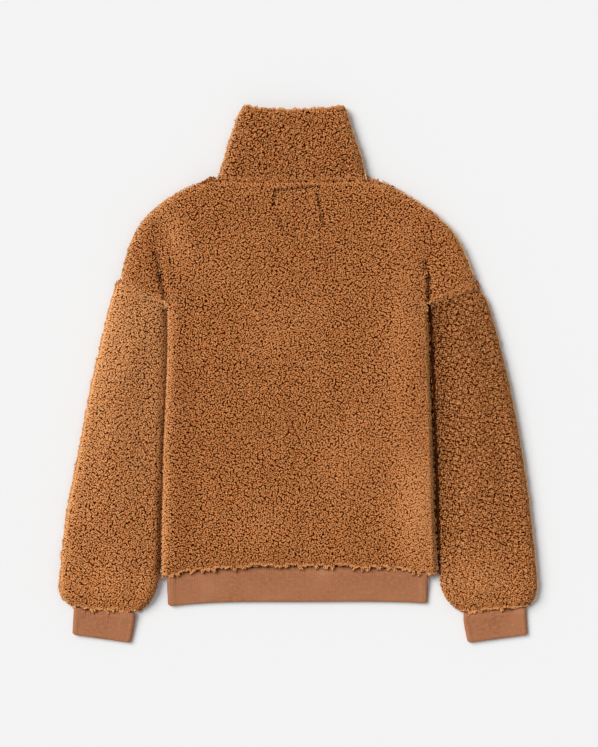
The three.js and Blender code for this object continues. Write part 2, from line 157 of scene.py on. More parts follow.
def cut(node, offset):
    """The straight bits in which a solid's faces cross the surface where offset(points) is zero."""
    corners = solids[node]
    side = offset(corners)
    side = np.where(np.abs(side) < TOUCH, TOUCH, side)
    crossed = (side > 0).any(1) & (side < 0).any(1)
    corners, side = corners[crossed], side[crossed]
    ends = np.full((len(corners), 3, 3), np.nan)
    for k in range(3):
        a, b = side[:, k], side[:, (k + 1) % 3]
        meets = (a > 0) != (b > 0)
        share = (a / np.where(meets, a - b, 1))[:, None]
        point = corners[:, k] + share * (corners[:, (k + 1) % 3] - corners[:, k])
        ends[meets, k] = point[meets]
    return ends[~np.isnan(ends[:, :, 0])].reshape(-1, 2, 3)


def edge_line(node, low, high, upper):
    """The edge of a solid in plan, as y for any x: its far edge, or its near one, between two x."""
    at = np.linspace(low, high, EDGE_POINTS)
    at = at[np.abs(at - ZIP_X) > SLIT_HALF + 2]
    pick = np.max if upper else np.min
    y = [pick(cut(node, lambda p, x=x: p[..., 0] - x)[:, :, 1]) for x in at]
    return lambda x: np.interp(x, at, y)


def straight_line(first, second):
    """The line of the plan through two points, as y for any x."""
    slope = (second[1] - first[1]) / (second[0] - first[0])
    return lambda x: first[1] + slope * (x - first[0])


def corner(node, direction):
    """The point of a solid that lies furthest in a direction of the plan."""
    points = solids[node].reshape(-1, 3)
    return points[np.argmax(points[:, :2] @ np.array(direction))]


# %% Rows of points on the outer face
COLUMNS = 160
ROW_STEP = 3.0   # from one row to the next, about, millimetres
EDGE = 1e-4      # a row starts this far inside the edge of its solid
SHORT = 1e-6     # a bit of a cut that is shorter than this, seen from above, has no height of its own


def cut_under(node, line):
    """The straight bits in which an upright sheet on a line of the plan cuts a solid."""
    return cut(node, lambda p: p[..., 1] - line(p[..., 0]))


def part_way(first, last, share):
    """A line of the plan between two lines, a share of the way to the second."""
    return lambda x: first(x) * (1 - share) + last(x) * share


def height_of(bits, x, upper):
    """The top or the bottom of a cut at given x. Over the slit of the zip, the height is carried across."""
    bits = bits[np.abs(bits[:, 1, 0] - bits[:, 0, 0]) > SHORT]
    start, step = bits[:, 0], bits[:, 1] - bits[:, 0]
    along = (x[:, None] - start[:, 0]) / step[:, 0]
    z = start[:, 2] + along * step[:, 2]
    outside = (along < -SHORT) | (along > 1 + SHORT)
    z = np.where(outside, -np.inf if upper else np.inf, z)
    z = z.max(1) if upper else z.min(1)
    there = np.isfinite(z)
    return np.interp(x, x[there], z[there])


def outer_row(node, line, upper):
    """Points on a solid's outer face from its left to its right edge, under one line of the plan."""
    bits = cut_under(node, line)
    left, right = bits[:, :, 0].min(), bits[:, :, 0].max()
    share = (1 - np.cos(np.pi * np.linspace(0, 1, COLUMNS))) / 2   # closer together towards the edges
    x = left + EDGE + (right - left - 2 * EDGE) * share
    return np.stack([x, line(x), height_of(bits, x, upper)], 1)


def smoothed(grid, sigma, axis):
    """A grid of points, each one averaged with its neighbours along an axis. The ends stay put."""
    reach = max(int(3 * sigma), 1)
    weights = np.exp(-0.5 * (np.arange(-reach, reach + 1) / sigma) ** 2)
    weights /= weights.sum()
    pad = [(0, 0)] * grid.ndim
    pad[axis] = (reach, reach)
    wide = np.pad(grid, pad, mode="reflect", reflect_type="odd")
    parts = [np.take(wide, np.arange(k, k + grid.shape[axis]), axis) * w for k, w in enumerate(weights)]
    return sum(parts)


def distances(row):
    """How far along a row of points each of them lies."""
    return np.concatenate([[0], np.cumsum(np.linalg.norm(np.diff(row, axis=0), axis=1))])


def read_off(row, at, places):
    """A row whose points or directions belong to known places along it, read at other places."""
    return np.stack([np.interp(at, places, row[:, k]) for k in range(row.shape[1])], 1)


def evenly(row):
    """A row of points, moved along itself until they are evenly spaced."""
    length = distances(row)
    return read_off(row, np.linspace(0, length[-1], len(row)), length)


def outer_face(node, first, last, upper):
    """A solid's outer face, as a grid of points from one line of the plan to another."""
    middle = solids[node].reshape(-1, 3)[:, 0].mean()
    rows = int(abs(first(middle) - last(middle)) / ROW_STEP) + 2
    made = [outer_row(node, part_way(first, last, v), upper) for v in np.linspace(0.002, 0.998, rows)]
    grid = smoothed(np.array(made), 1.2, 0)
    return smoothed(np.array([evenly(row) for row in grid]), 1.6, 1)


print(f"each row has {COLUMNS} points, and rows lie about {ROW_STEP} mm apart")


# %% Every outer face
neck_back = edge_line("back", -112, 95, True)
neck_front = edge_line("front", -112, 95, True)
hem = edge_line("back", -190, 193, False)
collar_top = edge_line("collar", -74, 61, True)


def armhole(side):
    """The ends of a sleeve's armhole seam: at the shoulder and under the arm."""
    node, out = "sleeve_" + side, OUTWARD[side]
    return corner(node, (out * 0.2, 1)), corner(node, (-out, 0.9))


def sleeve_lines(side):
    """The plan of a sleeve's first and last row: its armhole seam and its cuff seam."""
    node, out = "cuff_" + side, OUTWARD[side]
    return straight_line(*armhole(side)), straight_line(corner(node, (out, 3)), corner(node, (-out, 2)))


plans = {   # the first row, the last row, and whether it is on the upper side
    "back": (neck_back, hem, True),
    "front": (neck_front, hem, False),
    "collar_back": (lambda x: neck_back(x) + 0.8, collar_top, True),
    "collar_front": (lambda x: neck_front(x) + 0.8, collar_top, False),
}
for side in OUTWARD:
    plans[f"sleeve_{side}_back"] = (*sleeve_lines(side), True)
    plans[f"sleeve_{side}_front"] = (*sleeve_lines(side), False)
faces_up = {name: plan[2] for name, plan in plans.items()}
node_of = {name: name if name in body_names else name.rsplit("_", 1)[0] for name in plans}
forms = {name: outer_face(node_of[name], *plan) for name, plan in plans.items()}
upper_forms = [name for name in forms if faces_up[name]]
for name, grid in forms.items():
    low, high = grid.min((0, 1)), grid.max((0, 1))
    print(f"{name}: {grid.shape[0]} rows, from {low.round(1)} to {high.round(1)} mm")

# %% [markdown]
# ## Creases
#
# Cloth that was laid down by hand never lies quite flat. Its soft troughs and ridges are placed one by one
# here, each a line with a width and a rise, uneven in length and depth. The narrow ones are stitches, which
# pull the backing down so that the pile parts, and the places where a sleeve sinks beside the body. A cloth
# simulation could fold the garment, but it wouldn't put each fold where it is wanted.

# %% Tables and folds
def table(columns, rows):
    """Rows of numbers with named columns."""
    return [dict(zip(columns.split(), row)) for row in rows]


back_folds = table("x0 y0 x1 y1 half rise", [
    [-150, 226, -40, 268, 20, 1.4],     # from the neck down to the left shoulder
    [140, 236, 60, 262, 16, -1.2],
    [-192, 178, -182, 96, 7, 1.6],
    [-176, 238, -196, 190, 13, -1.4],
    [-214, 232, -226, 150, 16, 1.8],
    [200, 215, 186, 150, 12, -1.6],
    [-120, 60, -60, -70, 40, 1.0],
    [-138, -20, -146, -240, 13, -1.6],
    [60, 150, 84, 20, 34, -1.2],
    [100, -60, 70, -200, 30, 1.2],
    [-60, -215, 30, -236, 24, -1.4],
    [128, -262, 150, -292, 16, -2.0],
    [-160, -262, -120, -292, 20, 1.2],
    [20, -250, 62, -290, 18, -1.2],
])
sleeve_folds = table("x0 y0 x1 y1 half rise", [
    [226, 96, 262, 40, 14, -1.8],
    [252, 20, 284, -110, 16, 1.4],
    [282, -60, 300, -190, 12, -1.6],
    [246, -180, 262, -300, 16, 1.2],
    [306, -232, 296, -318, 14, -1.6],
    [222, -250, 236, -322, 11, -1.6],
])
collar_folds = table("x0 y0 x1 y1 half rise", [
    [-80, 296, 60, 290, 9, -1.2],
    [-60, 330, -30, 378, 16, 1.2],
    [10, 318, 48, 372, 14, -1.4],
    [-96, 300, -66, 372, 9, 1.2],
])


def rise_at(folds, x, y):
    """How far folds lift or sink the cloth at points of the plan."""
    total = np.zeros(np.shape(x))
    for fold in folds:
        dx, dy = fold["x1"] - fold["x0"], fold["y1"] - fold["y0"]
        share = ((x - fold["x0"]) * dx + (y - fold["y0"]) * dy) / (dx * dx + dy * dy)
        share = np.clip(share, 0, 1)
        away = np.hypot(x - fold["x0"] - share * dx, y - fold["y0"] - share * dy)
        total += fold["rise"] * np.exp(-((away / fold["half"]) ** 2))
    return total


def mirrored(folds):
    """The same folds on the other side of the garment."""
    return [{**fold, "x0": -fold["x0"], "x1": -fold["x1"]} for fold in folds]


def eased(value):
    """0 to 1 with soft ends."""
    value = np.clip(value, 0, 1)
    return value * value * (3 - 2 * value)


def near_creases(folds, half, x, y, full=0.1):
    """How near places lie to those of some folds that sink, 0 to 1, with another half width for them all.
    A crease counts in full once it is so many millimetres deep."""
    sinking = [fold for fold in folds if fold["rise"] < 0]
    even = [{**fold, "half": half, "rise": min(1, -fold["rise"] / full)} for fold in sinking]
    return np.minimum(rise_at(even, x, y), 1)


# The narrow ones, where the light hardly reaches: stitches, and the sleeves sinking under the body's sides.
creases = {
    "back": table("x0 y0 x1 y1 half rise", [
        [-33, 264, -10, 266, 1.9, -2.3],     # stitches of the neck patch: top, left and right
        [-6, 267, 30, 271, 1.9, -2.5],
        [-33, 262, -36, 242, 1.9, -2.2],
        [-30, 230, -21, 206, 2.0, -1.9],
        [-16, 201, -2, 198, 2.0, -1.8],
        [8, 198, 24, 203, 2.0, -1.6],
        [27, 259, 31, 240, 1.9, -2.4],
        [33, 232, 36, 214, 2.0, -2.4],
        [-206, 172, -200, 143, 4.0, -1.8],   # from the left armhole up, with a full ridge beside it
        [-200, 140, -194, 108, 3.4, -2.8],
        [-203, 196, -192, 165, 6.0, 1.2],
        [-192, 162, -187, 116, 5.0, 1.6],
        [184, 162, 185, 150, 3.0, -2.0],     # from the right armhole up
        [188, 140, 187, 106, 3.2, -3.4],
        [-185, 104, -184, 20, 4, 1.6],       # the sides of the body stay full to their edges
        [-185, 10, -192, -285, 4, 1.6],
        [181, 104, 186, 45, 4, 2.0],
        [187, 35, 194, -285, 4, 2.0],
    ]),
    "sleeve_left_back": table("x0 y0 x1 y1 half rise", [
        [-193, 112, -191, 66, 3.4, -1.1],
        [-191, 52, -192, -30, 3.0, -0.7],
        [-192, -50, -197, -150, 3.2, -1.5],
        [-199, -170, -200, -285, 3.4, -1.9],
    ]),
    "sleeve_right_back": table("x0 y0 x1 y1 half rise", [
        [187, 124, 191, 50, 2.5, -4.4],
        [191, 44, 194, -40, 2.9, -4.9],
        [194, -46, 198, -120, 2.7, -4.9],
        [198, -126, 202, -288, 3.0, -4.7],
    ]),
}

folds_of = {
    "back": back_folds,
    "collar_back": collar_folds,
    "sleeve_right_back": sleeve_folds,
    "sleeve_left_back": mirrored(sleeve_folds),
}
for name, folds in folds_of.items():
    grid = forms[name]
    share = np.linspace(0, 1, COLUMNS)
    inside = eased(np.minimum(share, 1 - share) / 0.06)
    lift = rise_at(folds, grid[..., 0], grid[..., 1]) * inside
    if name.startswith("sleeve"):  # a sleeve is a little crowned, and sinks beside the body
        lift += 3.0 * np.sin(np.pi * share) - 1.5
    grid[..., 2] += lift
    print(f"{name}: {len(folds)} folds")

# %% The body lies over the sleeves
# Below the armholes the sides of the body stand out over the sleeves, and the corners of its hem are full.
fuller = table("x y across along dx dy", [
    [-196, -30, 16, 110, -1.5, 0],
    [-198, -200, 16, 110, -1.5, 0],
    [192, 50, 16, 80, -3.0, 0],
    [200, -140, 16, 120, -4.5, 0],
    [-196, -290, 14, 12, -2.5, -3],
    [202, -288, 14, 12, 2.5, -3],
    [257, 134, 16, 12, 1.0, 0],
])
under_body = table("x y across along dx dy", [   # the sleeves reach under it
    [264, 128, 16, 14, -3.5, -1],
    [192, 50, 15, 80, -6.5, 0],
    [202, -150, 15, 130, -7.5, 0],
    [-192, 20, 15, 120, 3, 0],
    [-198, -190, 15, 90, 2, 0],
])
for name in (name for name in forms if "collar" not in name):
    grid = forms[name]
    x, y = grid[..., 0].copy(), grid[..., 1].copy()
    for spot in under_body if name.startswith("sleeve") else fuller:
        share = np.exp(-(((x - spot["x"]) / spot["across"]) ** 2) - ((y - spot["y"]) / spot["along"]) ** 4)
        grid[..., 0] += spot["dx"] * share
        grid[..., 1] += spot["dy"] * share
across = forms["back"][..., 0]
print("sides of the body from", across.min().round(1), "to", across.max().round(1))


# %% Level seams
LEVEL_REACH = 13.0         # how far from a seam the pile is levelled, millimetres
DIP, DIP_HALF = 0.8, 3     # how far it sinks at the seam, and how wide that dip is to each side


def unit(vectors):
    """Directions, from vectors of any length."""
    return vectors / np.maximum(np.linalg.norm(vectors, axis=-1, keepdims=True), 1e-9)


def left_of(way):
    """Directions of the plan, each turned a quarter to its left."""
    return np.stack([-way[:, 1], way[:, 0]], 1)


class Heights:
    """How high the upper side lies over any place of the plan."""

    def __init__(self):
        self.points = np.concatenate([forms[name].reshape(-1, 3) for name in upper_forms])
        self.tree = KDTree(len(self.points))
        for index, (x, y, _) in enumerate(self.points):
            self.tree.insert((x, y, 0), index)
        self.tree.balance()

    def __call__(self, places):
        found = [self.tree.find((x, y, 0))[1] for x, y in places]
        return self.points[found, 2]


def beside(line, places):
    """How far along a line of the plan places lie, and how far off it, to its left."""
    best = np.full(len(places), np.inf)
    along, off = np.zeros(len(places)), np.zeros(len(places))
    for k, (start, end) in enumerate(zip(line[:-1], line[1:])):
        step = end - start
        share = np.clip(((places - start) @ step) / (step @ step), 0, 1)
        away = places - start - share[:, None] * step
        distance = np.linalg.norm(away, axis=1)
        near = distance < best
        best[near], along[near] = distance[near], k + share[near]
        off[near] = (np.sign(step[0] * away[:, 1] - step[1] * away[:, 0]) * distance)[near]
    return along, off


def levelled(names, line, heights):
    """Lifts the rims of forms beside a seam, so the pile runs over it with only a faint dip."""
    for name in names:
        grid = forms[name]
        places = grid[..., :2].reshape(-1, 2)
        along, off = beside(line, places)
        close = np.abs(off) < LEVEL_REACH
        at, corners = along[close], np.arange(len(line))
        base = read_off(line, at, corners)
        left = left_of(unit(read_off(np.gradient(line, axis=0), at, corners)))
        low, high = heights(base - left * LEVEL_REACH), heights(base + left * LEVEL_REACH)
        share = (off[close] / LEVEL_REACH + 1) / 2
        z = low * (1 - share) + high * share - DIP * np.exp(-((off[close] / DIP_HALF) ** 2))
        flat = grid.reshape(-1, 3)
        flat[close, 2] = np.maximum(flat[close, 2], z)
        forms[name] = flat.reshape(grid.shape)


upper_side = Heights()
neck_x = np.linspace(-117, 103, 40)
seam_lines = {"neck": np.array([(x, neck_back(x) + 0.5) for x in neck_x])}
for side in OUTWARD:
    shoulder, under = armhole(side)
    seam_lines[side] = np.array([shoulder[:2] * (1 - t) + under[:2] * t for t in np.linspace(-0.02, 1, 20)])
    print(f"armhole {side}: from {shoulder[:2].round(0)} to {under[:2].round(0)}")
levelled(["back", "collar_back"], seam_lines["neck"], upper_side)
for side in OUTWARD:
    levelled(["back", f"sleeve_{side}_back"], seam_lines[side], upper_side)
for name, folds in creases.items():
    forms[name][..., 2] += rise_at(folds, forms[name][..., 0], forms[name][..., 1])
all_creases = [fold for folds in creases.values() for fold in folds]

# %% [markdown]
# ## The backing cloth
#
# Sherpa is a knitted backing with pile on its outside. The backing is what a maker cuts, so each one is a
# thin closed shell that follows the outer face, sunk to the roots of the pile. It could be made with a
# Solidify modifier, but offsetting the same rows twice keeps its rim square and its face count low.

# %% Points and directions on a form
# The corners of every square of a grid, one way round.
SQUARE = [(slice(None, -1), slice(None, -1)), (slice(1, None), slice(None, -1)),
          (slice(1, None), slice(1, None)), (slice(None, -1), slice(1, None))]
FACE_MAP = 0.485   # each face of a wall takes up nearly half the width of the flat map
RIM_MAP = 0.95     # and its rim is a row of small squares at the top, above this


def facing(grid, upper):
    """The outward direction at every point of a grid."""
    across, along = np.gradient(grid, axis=1), np.gradient(grid, axis=0)
    normal = unit(np.cross(across, along))
    return normal if (normal[..., 2].mean() > 0) == upper else -normal


def sample(grid, u, v):
    """A grid's values at shares u across it and v along it."""
    column = np.clip(u, 0, 1) * (grid.shape[1] - 1)
    row = np.clip(v, 0, 1) * (grid.shape[0] - 1)
    c, r = np.minimum(column.astype(int), grid.shape[1] - 2), np.minimum(row.astype(int), grid.shape[0] - 2)
    s, t = (column - c)[:, None], (row - r)[:, None]
    near = grid[r, c] * (1 - s) + grid[r, c + 1] * s
    far = grid[r + 1, c] * (1 - s) + grid[r + 1, c + 1] * s
    return near * (1 - t) + far * t


def new_mesh(name, points, faces, material, places, smooth=True):
    """A mesh object from arrays: points in millimetres, faces as rows of indices, in groups of one size
    each, and for each group the places of its corners on a flat map."""
    mesh = bpy.data.meshes.new(name)
    sizes = np.concatenate([np.full(len(group), group.shape[1]) for group in faces])
    mesh.vertices.add(len(points))
    mesh.vertices.foreach_set("co", (np.asarray(points) * MM).astype(np.float32).ravel())
    mesh.loops.add(int(sizes.sum()))
    mesh.loops.foreach_set("vertex_index", np.concatenate([g.ravel() for g in faces]).astype(np.int32))
    mesh.polygons.add(len(sizes))
    mesh.polygons.foreach_set("loop_start", (np.cumsum(sizes) - sizes).astype(np.int32))
    mesh.update(calc_edges=True)
    mesh.polygons.foreach_set("use_smooth", np.full(len(sizes), smooth))
    flat_map = mesh.uv_layers.new(name="OFBake")
    flat_map.data.foreach_set("uv", np.concatenate([p.ravel() for p in places]).astype(np.float32))
    made = bpy.data.objects.new(name, mesh)
    bpy.context.scene.collection.objects.link(made)
    mesh.materials.append(material)
    return made


def attribute(piece, name, values):
    """Stores one number, or three, for each point of a piece, for its material to read."""
    values = np.asarray(values, np.float32)
    many = values.ndim > 1 and values.shape[-1] == 3
    made = piece.data.attributes.new(name, "FLOAT_VECTOR" if many else "FLOAT", "POINT")
    made.data.foreach_set("vector" if many else "value", values.ravel())


def quads(a, b, c, d):
    """Faces with four corners, from grids of the points at each corner."""
    return np.stack([a.ravel(), b.ravel(), c.ravel(), d.ravel()], 1)


def shell(top, bottom, kept=None, ring=False):
    """The points, faces and flat map of a closed wall between two grids, which may be a ring or have holes,
    where squares aren't kept."""
    rows, columns = top.shape[:2]
    index = np.arange(rows * columns).reshape(rows, columns)
    if ring:
        index = np.concatenate([index, index[:, :1]], 1)
    under = index + rows * columns
    cells = (rows - 1, index.shape[1] - 1)
    kept = np.ones(cells, bool) if kept is None else kept
    at = np.stack(np.meshgrid(np.linspace(0, 1, cells[1] + 1), np.linspace(0, RIM_MAP - 0.02, rows)), -1)
    at[..., 0] *= FACE_MAP
    over, below, map_over = (np.stack([grid[c][kept] for c in SQUARE], 1) for grid in (index, under, at))
    wide = np.pad(kept, ((1, 1), (0, 0)))
    sides = np.pad(kept, ((0, 0), (1, 1)), mode="wrap" if ring else "constant")
    walls = []
    for open_side, first, second in (
        (~wide[:-2], 0, 3), (~wide[2:], 2, 1), (~sides[:, :-2], 1, 0), (~sides[:, 2:], 3, 2),
    ):
        edge = kept & open_side
        one, two = SQUARE[first], SQUARE[second]
        walls.append(quads(index[one][edge], index[two][edge], under[two][edge], under[one][edge]))
    walls = np.concatenate(walls)
    x = np.arange(len(walls)) / len(walls)
    x1 = x + 0.85 / len(walls)
    low, high = np.full(len(walls), RIM_MAP), np.full(len(walls), 0.995)
    strip = np.stack([np.stack(p, 1) for p in ((x, low), (x1, low), (x1, high), (x, high))], 1)
    points = np.concatenate([top.reshape(-1, 3), bottom.reshape(-1, 3)])
    return points, [over, below[:, ::-1], walls], [map_over, map_over[:, ::-1] + [1 - FACE_MAP, 0], strip]


print("on the whole, the back faces", facing(forms["back"], True).mean((0, 1)).round(2))


# %% [markdown]
# ## Materials as expressions
#
# A material is a tree of nodes, which is slow to read when each node and link is written out. One small
# class wraps a socket, so that sums and products of sockets read as they do on paper. The finishes are all
# procedural: they depend on numbers kept in the meshes and on noise, never on a picture.

# %% A socket that can be added and multiplied
class Socket:
    """One output of a node tree. Arithmetic on it adds Math nodes."""

    def __init__(self, tree, output):
        self.tree, self.output = tree, output

    def node(self, kind, settings=None, pick=0, **inputs):
        """Adds a node: its settings first, then its inputs by name (or by number, as i0, i1)."""
        made = self.tree.nodes.new(kind)
        for key, value in (settings or {}).items():
            if key == "stops":
                ramp = made.color_ramp.elements
                while len(ramp) < len(value):
                    ramp.new(0.5)
                for stop, (at, colour) in zip(ramp, value):
                    stop.position, stop.color = at, (*colour, 1)
            else:
                setattr(made, key, value)
        for key, value in inputs.items():
            socket = made.inputs[int(key[1:])] if key[1:].isdigit() else made.inputs[key.replace("_", " ")]
            if isinstance(value, Socket):
                self.tree.links.new(value.output, socket)
            else:
                socket.default_value = (*value, 1) if socket.type == "RGBA" and len(value) == 3 else value
        return Socket(self.tree, made.outputs[pick])

    def maths(self, operation, *values, clamp=False):
        settings = {"operation": operation, "use_clamp": clamp}
        return self.node("ShaderNodeMath", settings, **{f"i{k}": v for k, v in enumerate(values)})

    def __add__(self, other):
        return self.maths("ADD", self, other)

    def __sub__(self, other):
        return self.maths("SUBTRACT", self, other)

    def __rsub__(self, other):
        return self.maths("SUBTRACT", other, self)

    def __mul__(self, other):
        return self.maths("MULTIPLY", self, other)

    __radd__, __rmul__ = __add__, __mul__

    def between(self, low, high):
        """0 below low, 1 above high, soft in between."""
        settings = {"interpolation_type": "SMOOTHSTEP"}
        return self.node("ShaderNodeMapRange", settings, Value=self, From_Min=low, From_Max=high)

    def mixed(self, first, second):
        """A colour between two colours, with this socket as the share of the second."""
        settings = {"data_type": "RGBA", "clamp_factor": True}
        return self.node("ShaderNodeMix", settings, pick=2, i0=self, i6=first, i7=second)


def fabric_material(name, roughness, sheen, tint):
    """A soft material: the shader, and a socket to start expressions from."""
    soft = {"Sheen_Weight": sheen, "Sheen_Roughness": 0.5, "Sheen_Tint": (*tint, 1)}
    made, shader = new_material(name, Roughness=roughness, Specular_IOR_Level=0.0, **soft)
    return made, shader, Socket(made.node_tree, None)


def named(start, name, pick=2):
    """What the mesh keeps for each of its points: one number, or three with pick=1."""
    return start.node("ShaderNodeAttribute", {"attribute_name": name}, pick=pick)


def on_piece(start):
    """The place of a point on its piece, in metres."""
    return start.node("ShaderNodeTexCoord", None, pick=3)


def axes_of(place):
    """The x and the y of a place."""
    return (place.node("ShaderNodeSeparateXYZ", None, pick=k, Vector=place) for k in (0, 1))


def noise(start, place, scale, detail=2.0, roughness=0.5):
    settings = {"Scale": scale, "Detail": detail, "Roughness": roughness}
    return start.node("ShaderNodeTexNoise", None, Vector=place, **settings)


def finish(start, shader, colour, height, strength=0.5, distance=0.0003):
    """Links a colour, and a bump from a height."""
    start.tree.links.new(colour.output, shader.inputs["Base Color"])
    bump = start.node("ShaderNodeBump", None, Height=height, Strength=strength, Distance=distance)
    start.tree.links.new(bump.output, shader.inputs["Normal"])


helpers = (fabric_material, named, on_piece, axes_of, noise, finish)
print("helpers for finishes:", ", ".join(helper.__name__ for helper in helpers))


# %% [markdown]
# ## Sherpa pile
#
# Each strand is darkest and reddest at its root, a painted shade where the curls shade each other, and palest
# at its crest, partly bleached by the light and partly a painted highlight; no two curls took the dye alike.
# The mesh keeps how far up its curl each point is, how light the curl is, how much painted shade lies on it,
# and where across and along the strand it lies, so the fine fibres can run along the strand.

# %% Pile material
# The ramp from root to crest: the dark root is painted shade between the curls, and the pale crest is partly
# the bleached tips and partly a painted highlight.
ROOT_TO_CREST = [   # how far up a curl, and the colour there
    (0.0, (0.20, 0.015, 0.0004)),
    (0.30, (0.40, 0.070, 0.0050)),
    (0.58, (0.605, 0.198, 0.041)),
    (0.97, (0.90, 0.492, 0.216)),
]


def pile_material():
    """The pile: a colour by how far up a curl a point is, with painted shade at the root and a painted
    highlight at the crest, paler or darker curl by curl, with fine fibres, and darkened by the painted shade
    the mesh keeps.
    """
    made, shader, start = fabric_material("sherpa pile", 0.9, 0.0, (1.0, 0.7, 0.4))
    lift, tone, shade = (named(start, name) for name in ("lift", "tone", "shade"))
    fibres = noise(start, named(start, "strand", pick=1), 1.0, 2.0, 0.6)
    broad = noise(start, on_piece(start), 30)
    up = lift + (fibres - 0.5) * 0.35 + tone * 0.07
    colour = start.node("ShaderNodeValToRGB", {"stops": ROOT_TO_CREST}, Fac=up)
    lighter = tone * 0.05 + (fibres - 0.5) * 0.3 + (broad - 0.5) * 0.15
    colour = lighter.between(0.0, 1.0).mixed(colour, (1.0, 0.68, 0.32))
    colour = (0 - lighter).between(0.0, 1.0).mixed(colour, (0.14, 0.016, 0.001))
    # Painted shade: in creases, beside them, in the crack between two clumps and over shaded parts of a form,
    # the colour is mixed towards near black.
    colour = shade.mixed(colour, (0.036, 0.0045, 0.0006))
    finish(start, shader, colour, fibres)
    return made


def backing_material():
    """A close knit, hardly seen between the curls: small loops in rows, in the darkest brown, darkened to
    near black by painted shade in the creases.
    """
    made, shader, start = fabric_material("sherpa backing", 0.95, 0.0, (1.0, 0.7, 0.4))
    place = on_piece(start)
    loops = start.node("ShaderNodeTexVoronoi", None, Vector=place, Scale=650.0, Randomness=0.6)
    uneven = noise(start, place, 60, 3.0)
    colour = (loops * 0.9 + uneven - 0.4).between(0.0, 1.0).mixed((0.17, 0.030, 0.002), (0.23, 0.045, 0.004))
    # painted shade: in and beside the creases the backing is mixed towards near black
    colour = named(start, "shade").mixed(colour, (0.010, 0.004, 0.002))
    finish(start, shader, colour, loops, 0.4)
    return made


sherpa, backing = pile_material(), backing_material()
for made in (sherpa, backing):
    print(made.name, "has", len(made.node_tree.nodes), "nodes")

# %% Backing panels and tubes
ROOT = 5.0       # from the reach of the pile down to the backing
BACKING = 1.4    # how thick the backing is
LOWEST = 0.2     # how near the floor the backing may lie
WITHIN = 2.5     # how far it ends inside the sides of the pile
COARSE = 4       # the backing keeps every fourth row of a form
ZIP_END = solids["zip_tape_left"][..., 1].min() - 2


def coarse_rows(name):
    """How many rows the backing under a form has."""
    return int(forms[name].shape[0] / COARSE) + 2


def sunk_grid(name, count):
    """So many rows of a form's points, with the way out of it and how deep the backing lies there."""
    grid, upper = forms[name], faces_up[name]
    out = facing(grid, upper)
    share = np.linspace(0, 1, COLUMNS)
    shallow = 0.7 if upper else 0.05   # at the sides, as a share of the depth
    sink = ROOT * (shallow + (1 - shallow) * eased(np.minimum(share, 1 - share) / 0.05))
    sink = np.repeat(sink[None, :, None], grid.shape[0], 0)
    together = np.concatenate([grid, out, sink], 2)
    rows = np.linspace(0, grid.shape[0] - 1, count)
    low = np.minimum(rows.astype(int), grid.shape[0] - 2)
    part = (rows - low)[:, None, None]
    return together[low] * (1 - part) + together[low + 1] * part


def spread(together, low, high, count):
    """Columns between two places across a grid, each place a number for every row."""
    made = np.empty((together.shape[0], count, together.shape[2]))
    for row, (a, b) in enumerate(zip(low, high)):
        at = np.linspace(a, b, count)
        for k in range(together.shape[2]):
            made[row, :, k] = np.interp(at, np.arange(COLUMNS), together[row, :, k])
    return made


def slit_sides(together):
    """Where across a grid each row passes the left and the right side of the slit of the zip."""
    sides = (ZIP_X - SLIT_HALF, ZIP_X + SLIT_HALF)
    return [np.array([np.interp(x, row[:, 0], np.arange(COLUMNS)) for row in together]) for x in sides]


def backing_cloth(name, together, kept=None, ring=False):
    """The backing of a piece, which rides with the garment: a thin wall, sunk below a grid of points."""
    points, out, sink = together[..., :3].copy(), unit(together[..., 3:6]), together[..., 6:]
    above = out[..., 2] > 0
    if "sleeve" in name:  # a crease is narrower than the backing's squares, so these keep well below it
        points[..., 2] -= 3.5 * near_creases(all_creases, 9, points[..., 0], points[..., 1]) * above
    top, bottom = points - out * sink, points - out * (sink + BACKING)
    bottom[..., 2] = np.maximum(bottom[..., 2], LOWEST)
    top[..., 2] = np.maximum(top[..., 2], np.where(above, 1.0, LOWEST))
    places, faces, flat_map = shell(top, bottom, kept, ring)
    made = new_mesh(name + "_cloth", places, faces, backing, flat_map)
    # painted shade: how much the backing is darkened in and beside the creases
    attribute(made, "shade", 0.97 * near_creases(all_creases, 6, places[:, 0], places[:, 1], full=3))
    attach(made, "garment")
    return made


def ends(together):
    """The first and the last column of the backing, a little way in from the sides of the pile."""
    width = np.linalg.norm(np.diff(together[..., :2], axis=1), axis=2).sum(1)
    first = WITHIN / width * (COLUMNS - 1)
    return first, COLUMNS - 1 - first


def both_sides(piece):
    """The upper and the lower form of a piece, with as many rows each."""
    rows = coarse_rows(piece + "_back")
    return sunk_grid(piece + "_back", rows), sunk_grid(piece + "_front", rows)


panel = sunk_grid("back", coarse_rows("back"))
cloths = {"back": backing_cloth("back", spread(panel, *ends(panel), 45))}

STRIP = 20   # columns of the front on each side of the zip
panel = sunk_grid("front", coarse_rows("front"))   # three strips, so that the zip's slit has straight sides
(first, last), (left, right) = ends(panel), slit_sides(panel)
strips = [spread(panel, first, left, STRIP), spread(panel, left, right, 3)[:, 1:-1]]
panel = np.concatenate([*strips, spread(panel, right, last, STRIP)], 1)
kept = np.ones((panel.shape[0] - 1, panel.shape[1] - 1), bool)
kept[:, STRIP - 1:STRIP + 1] = (panel[1:, STRIP, 1] < ZIP_END)[:, None]
cloths["front"] = backing_cloth("front", panel[:, ::-1], kept[:, ::-1])

outside, under = both_sides("collar")   # one band, from the zip round the neck and back to it
(first, last), (left, right) = ends(under), slit_sides(under)
band = [spread(under, left, first, 12), spread(outside, *ends(outside), 28), spread(under, last, right, 12)]
cloths["collar"] = backing_cloth("collar", np.concatenate(band, 1)[::-1])

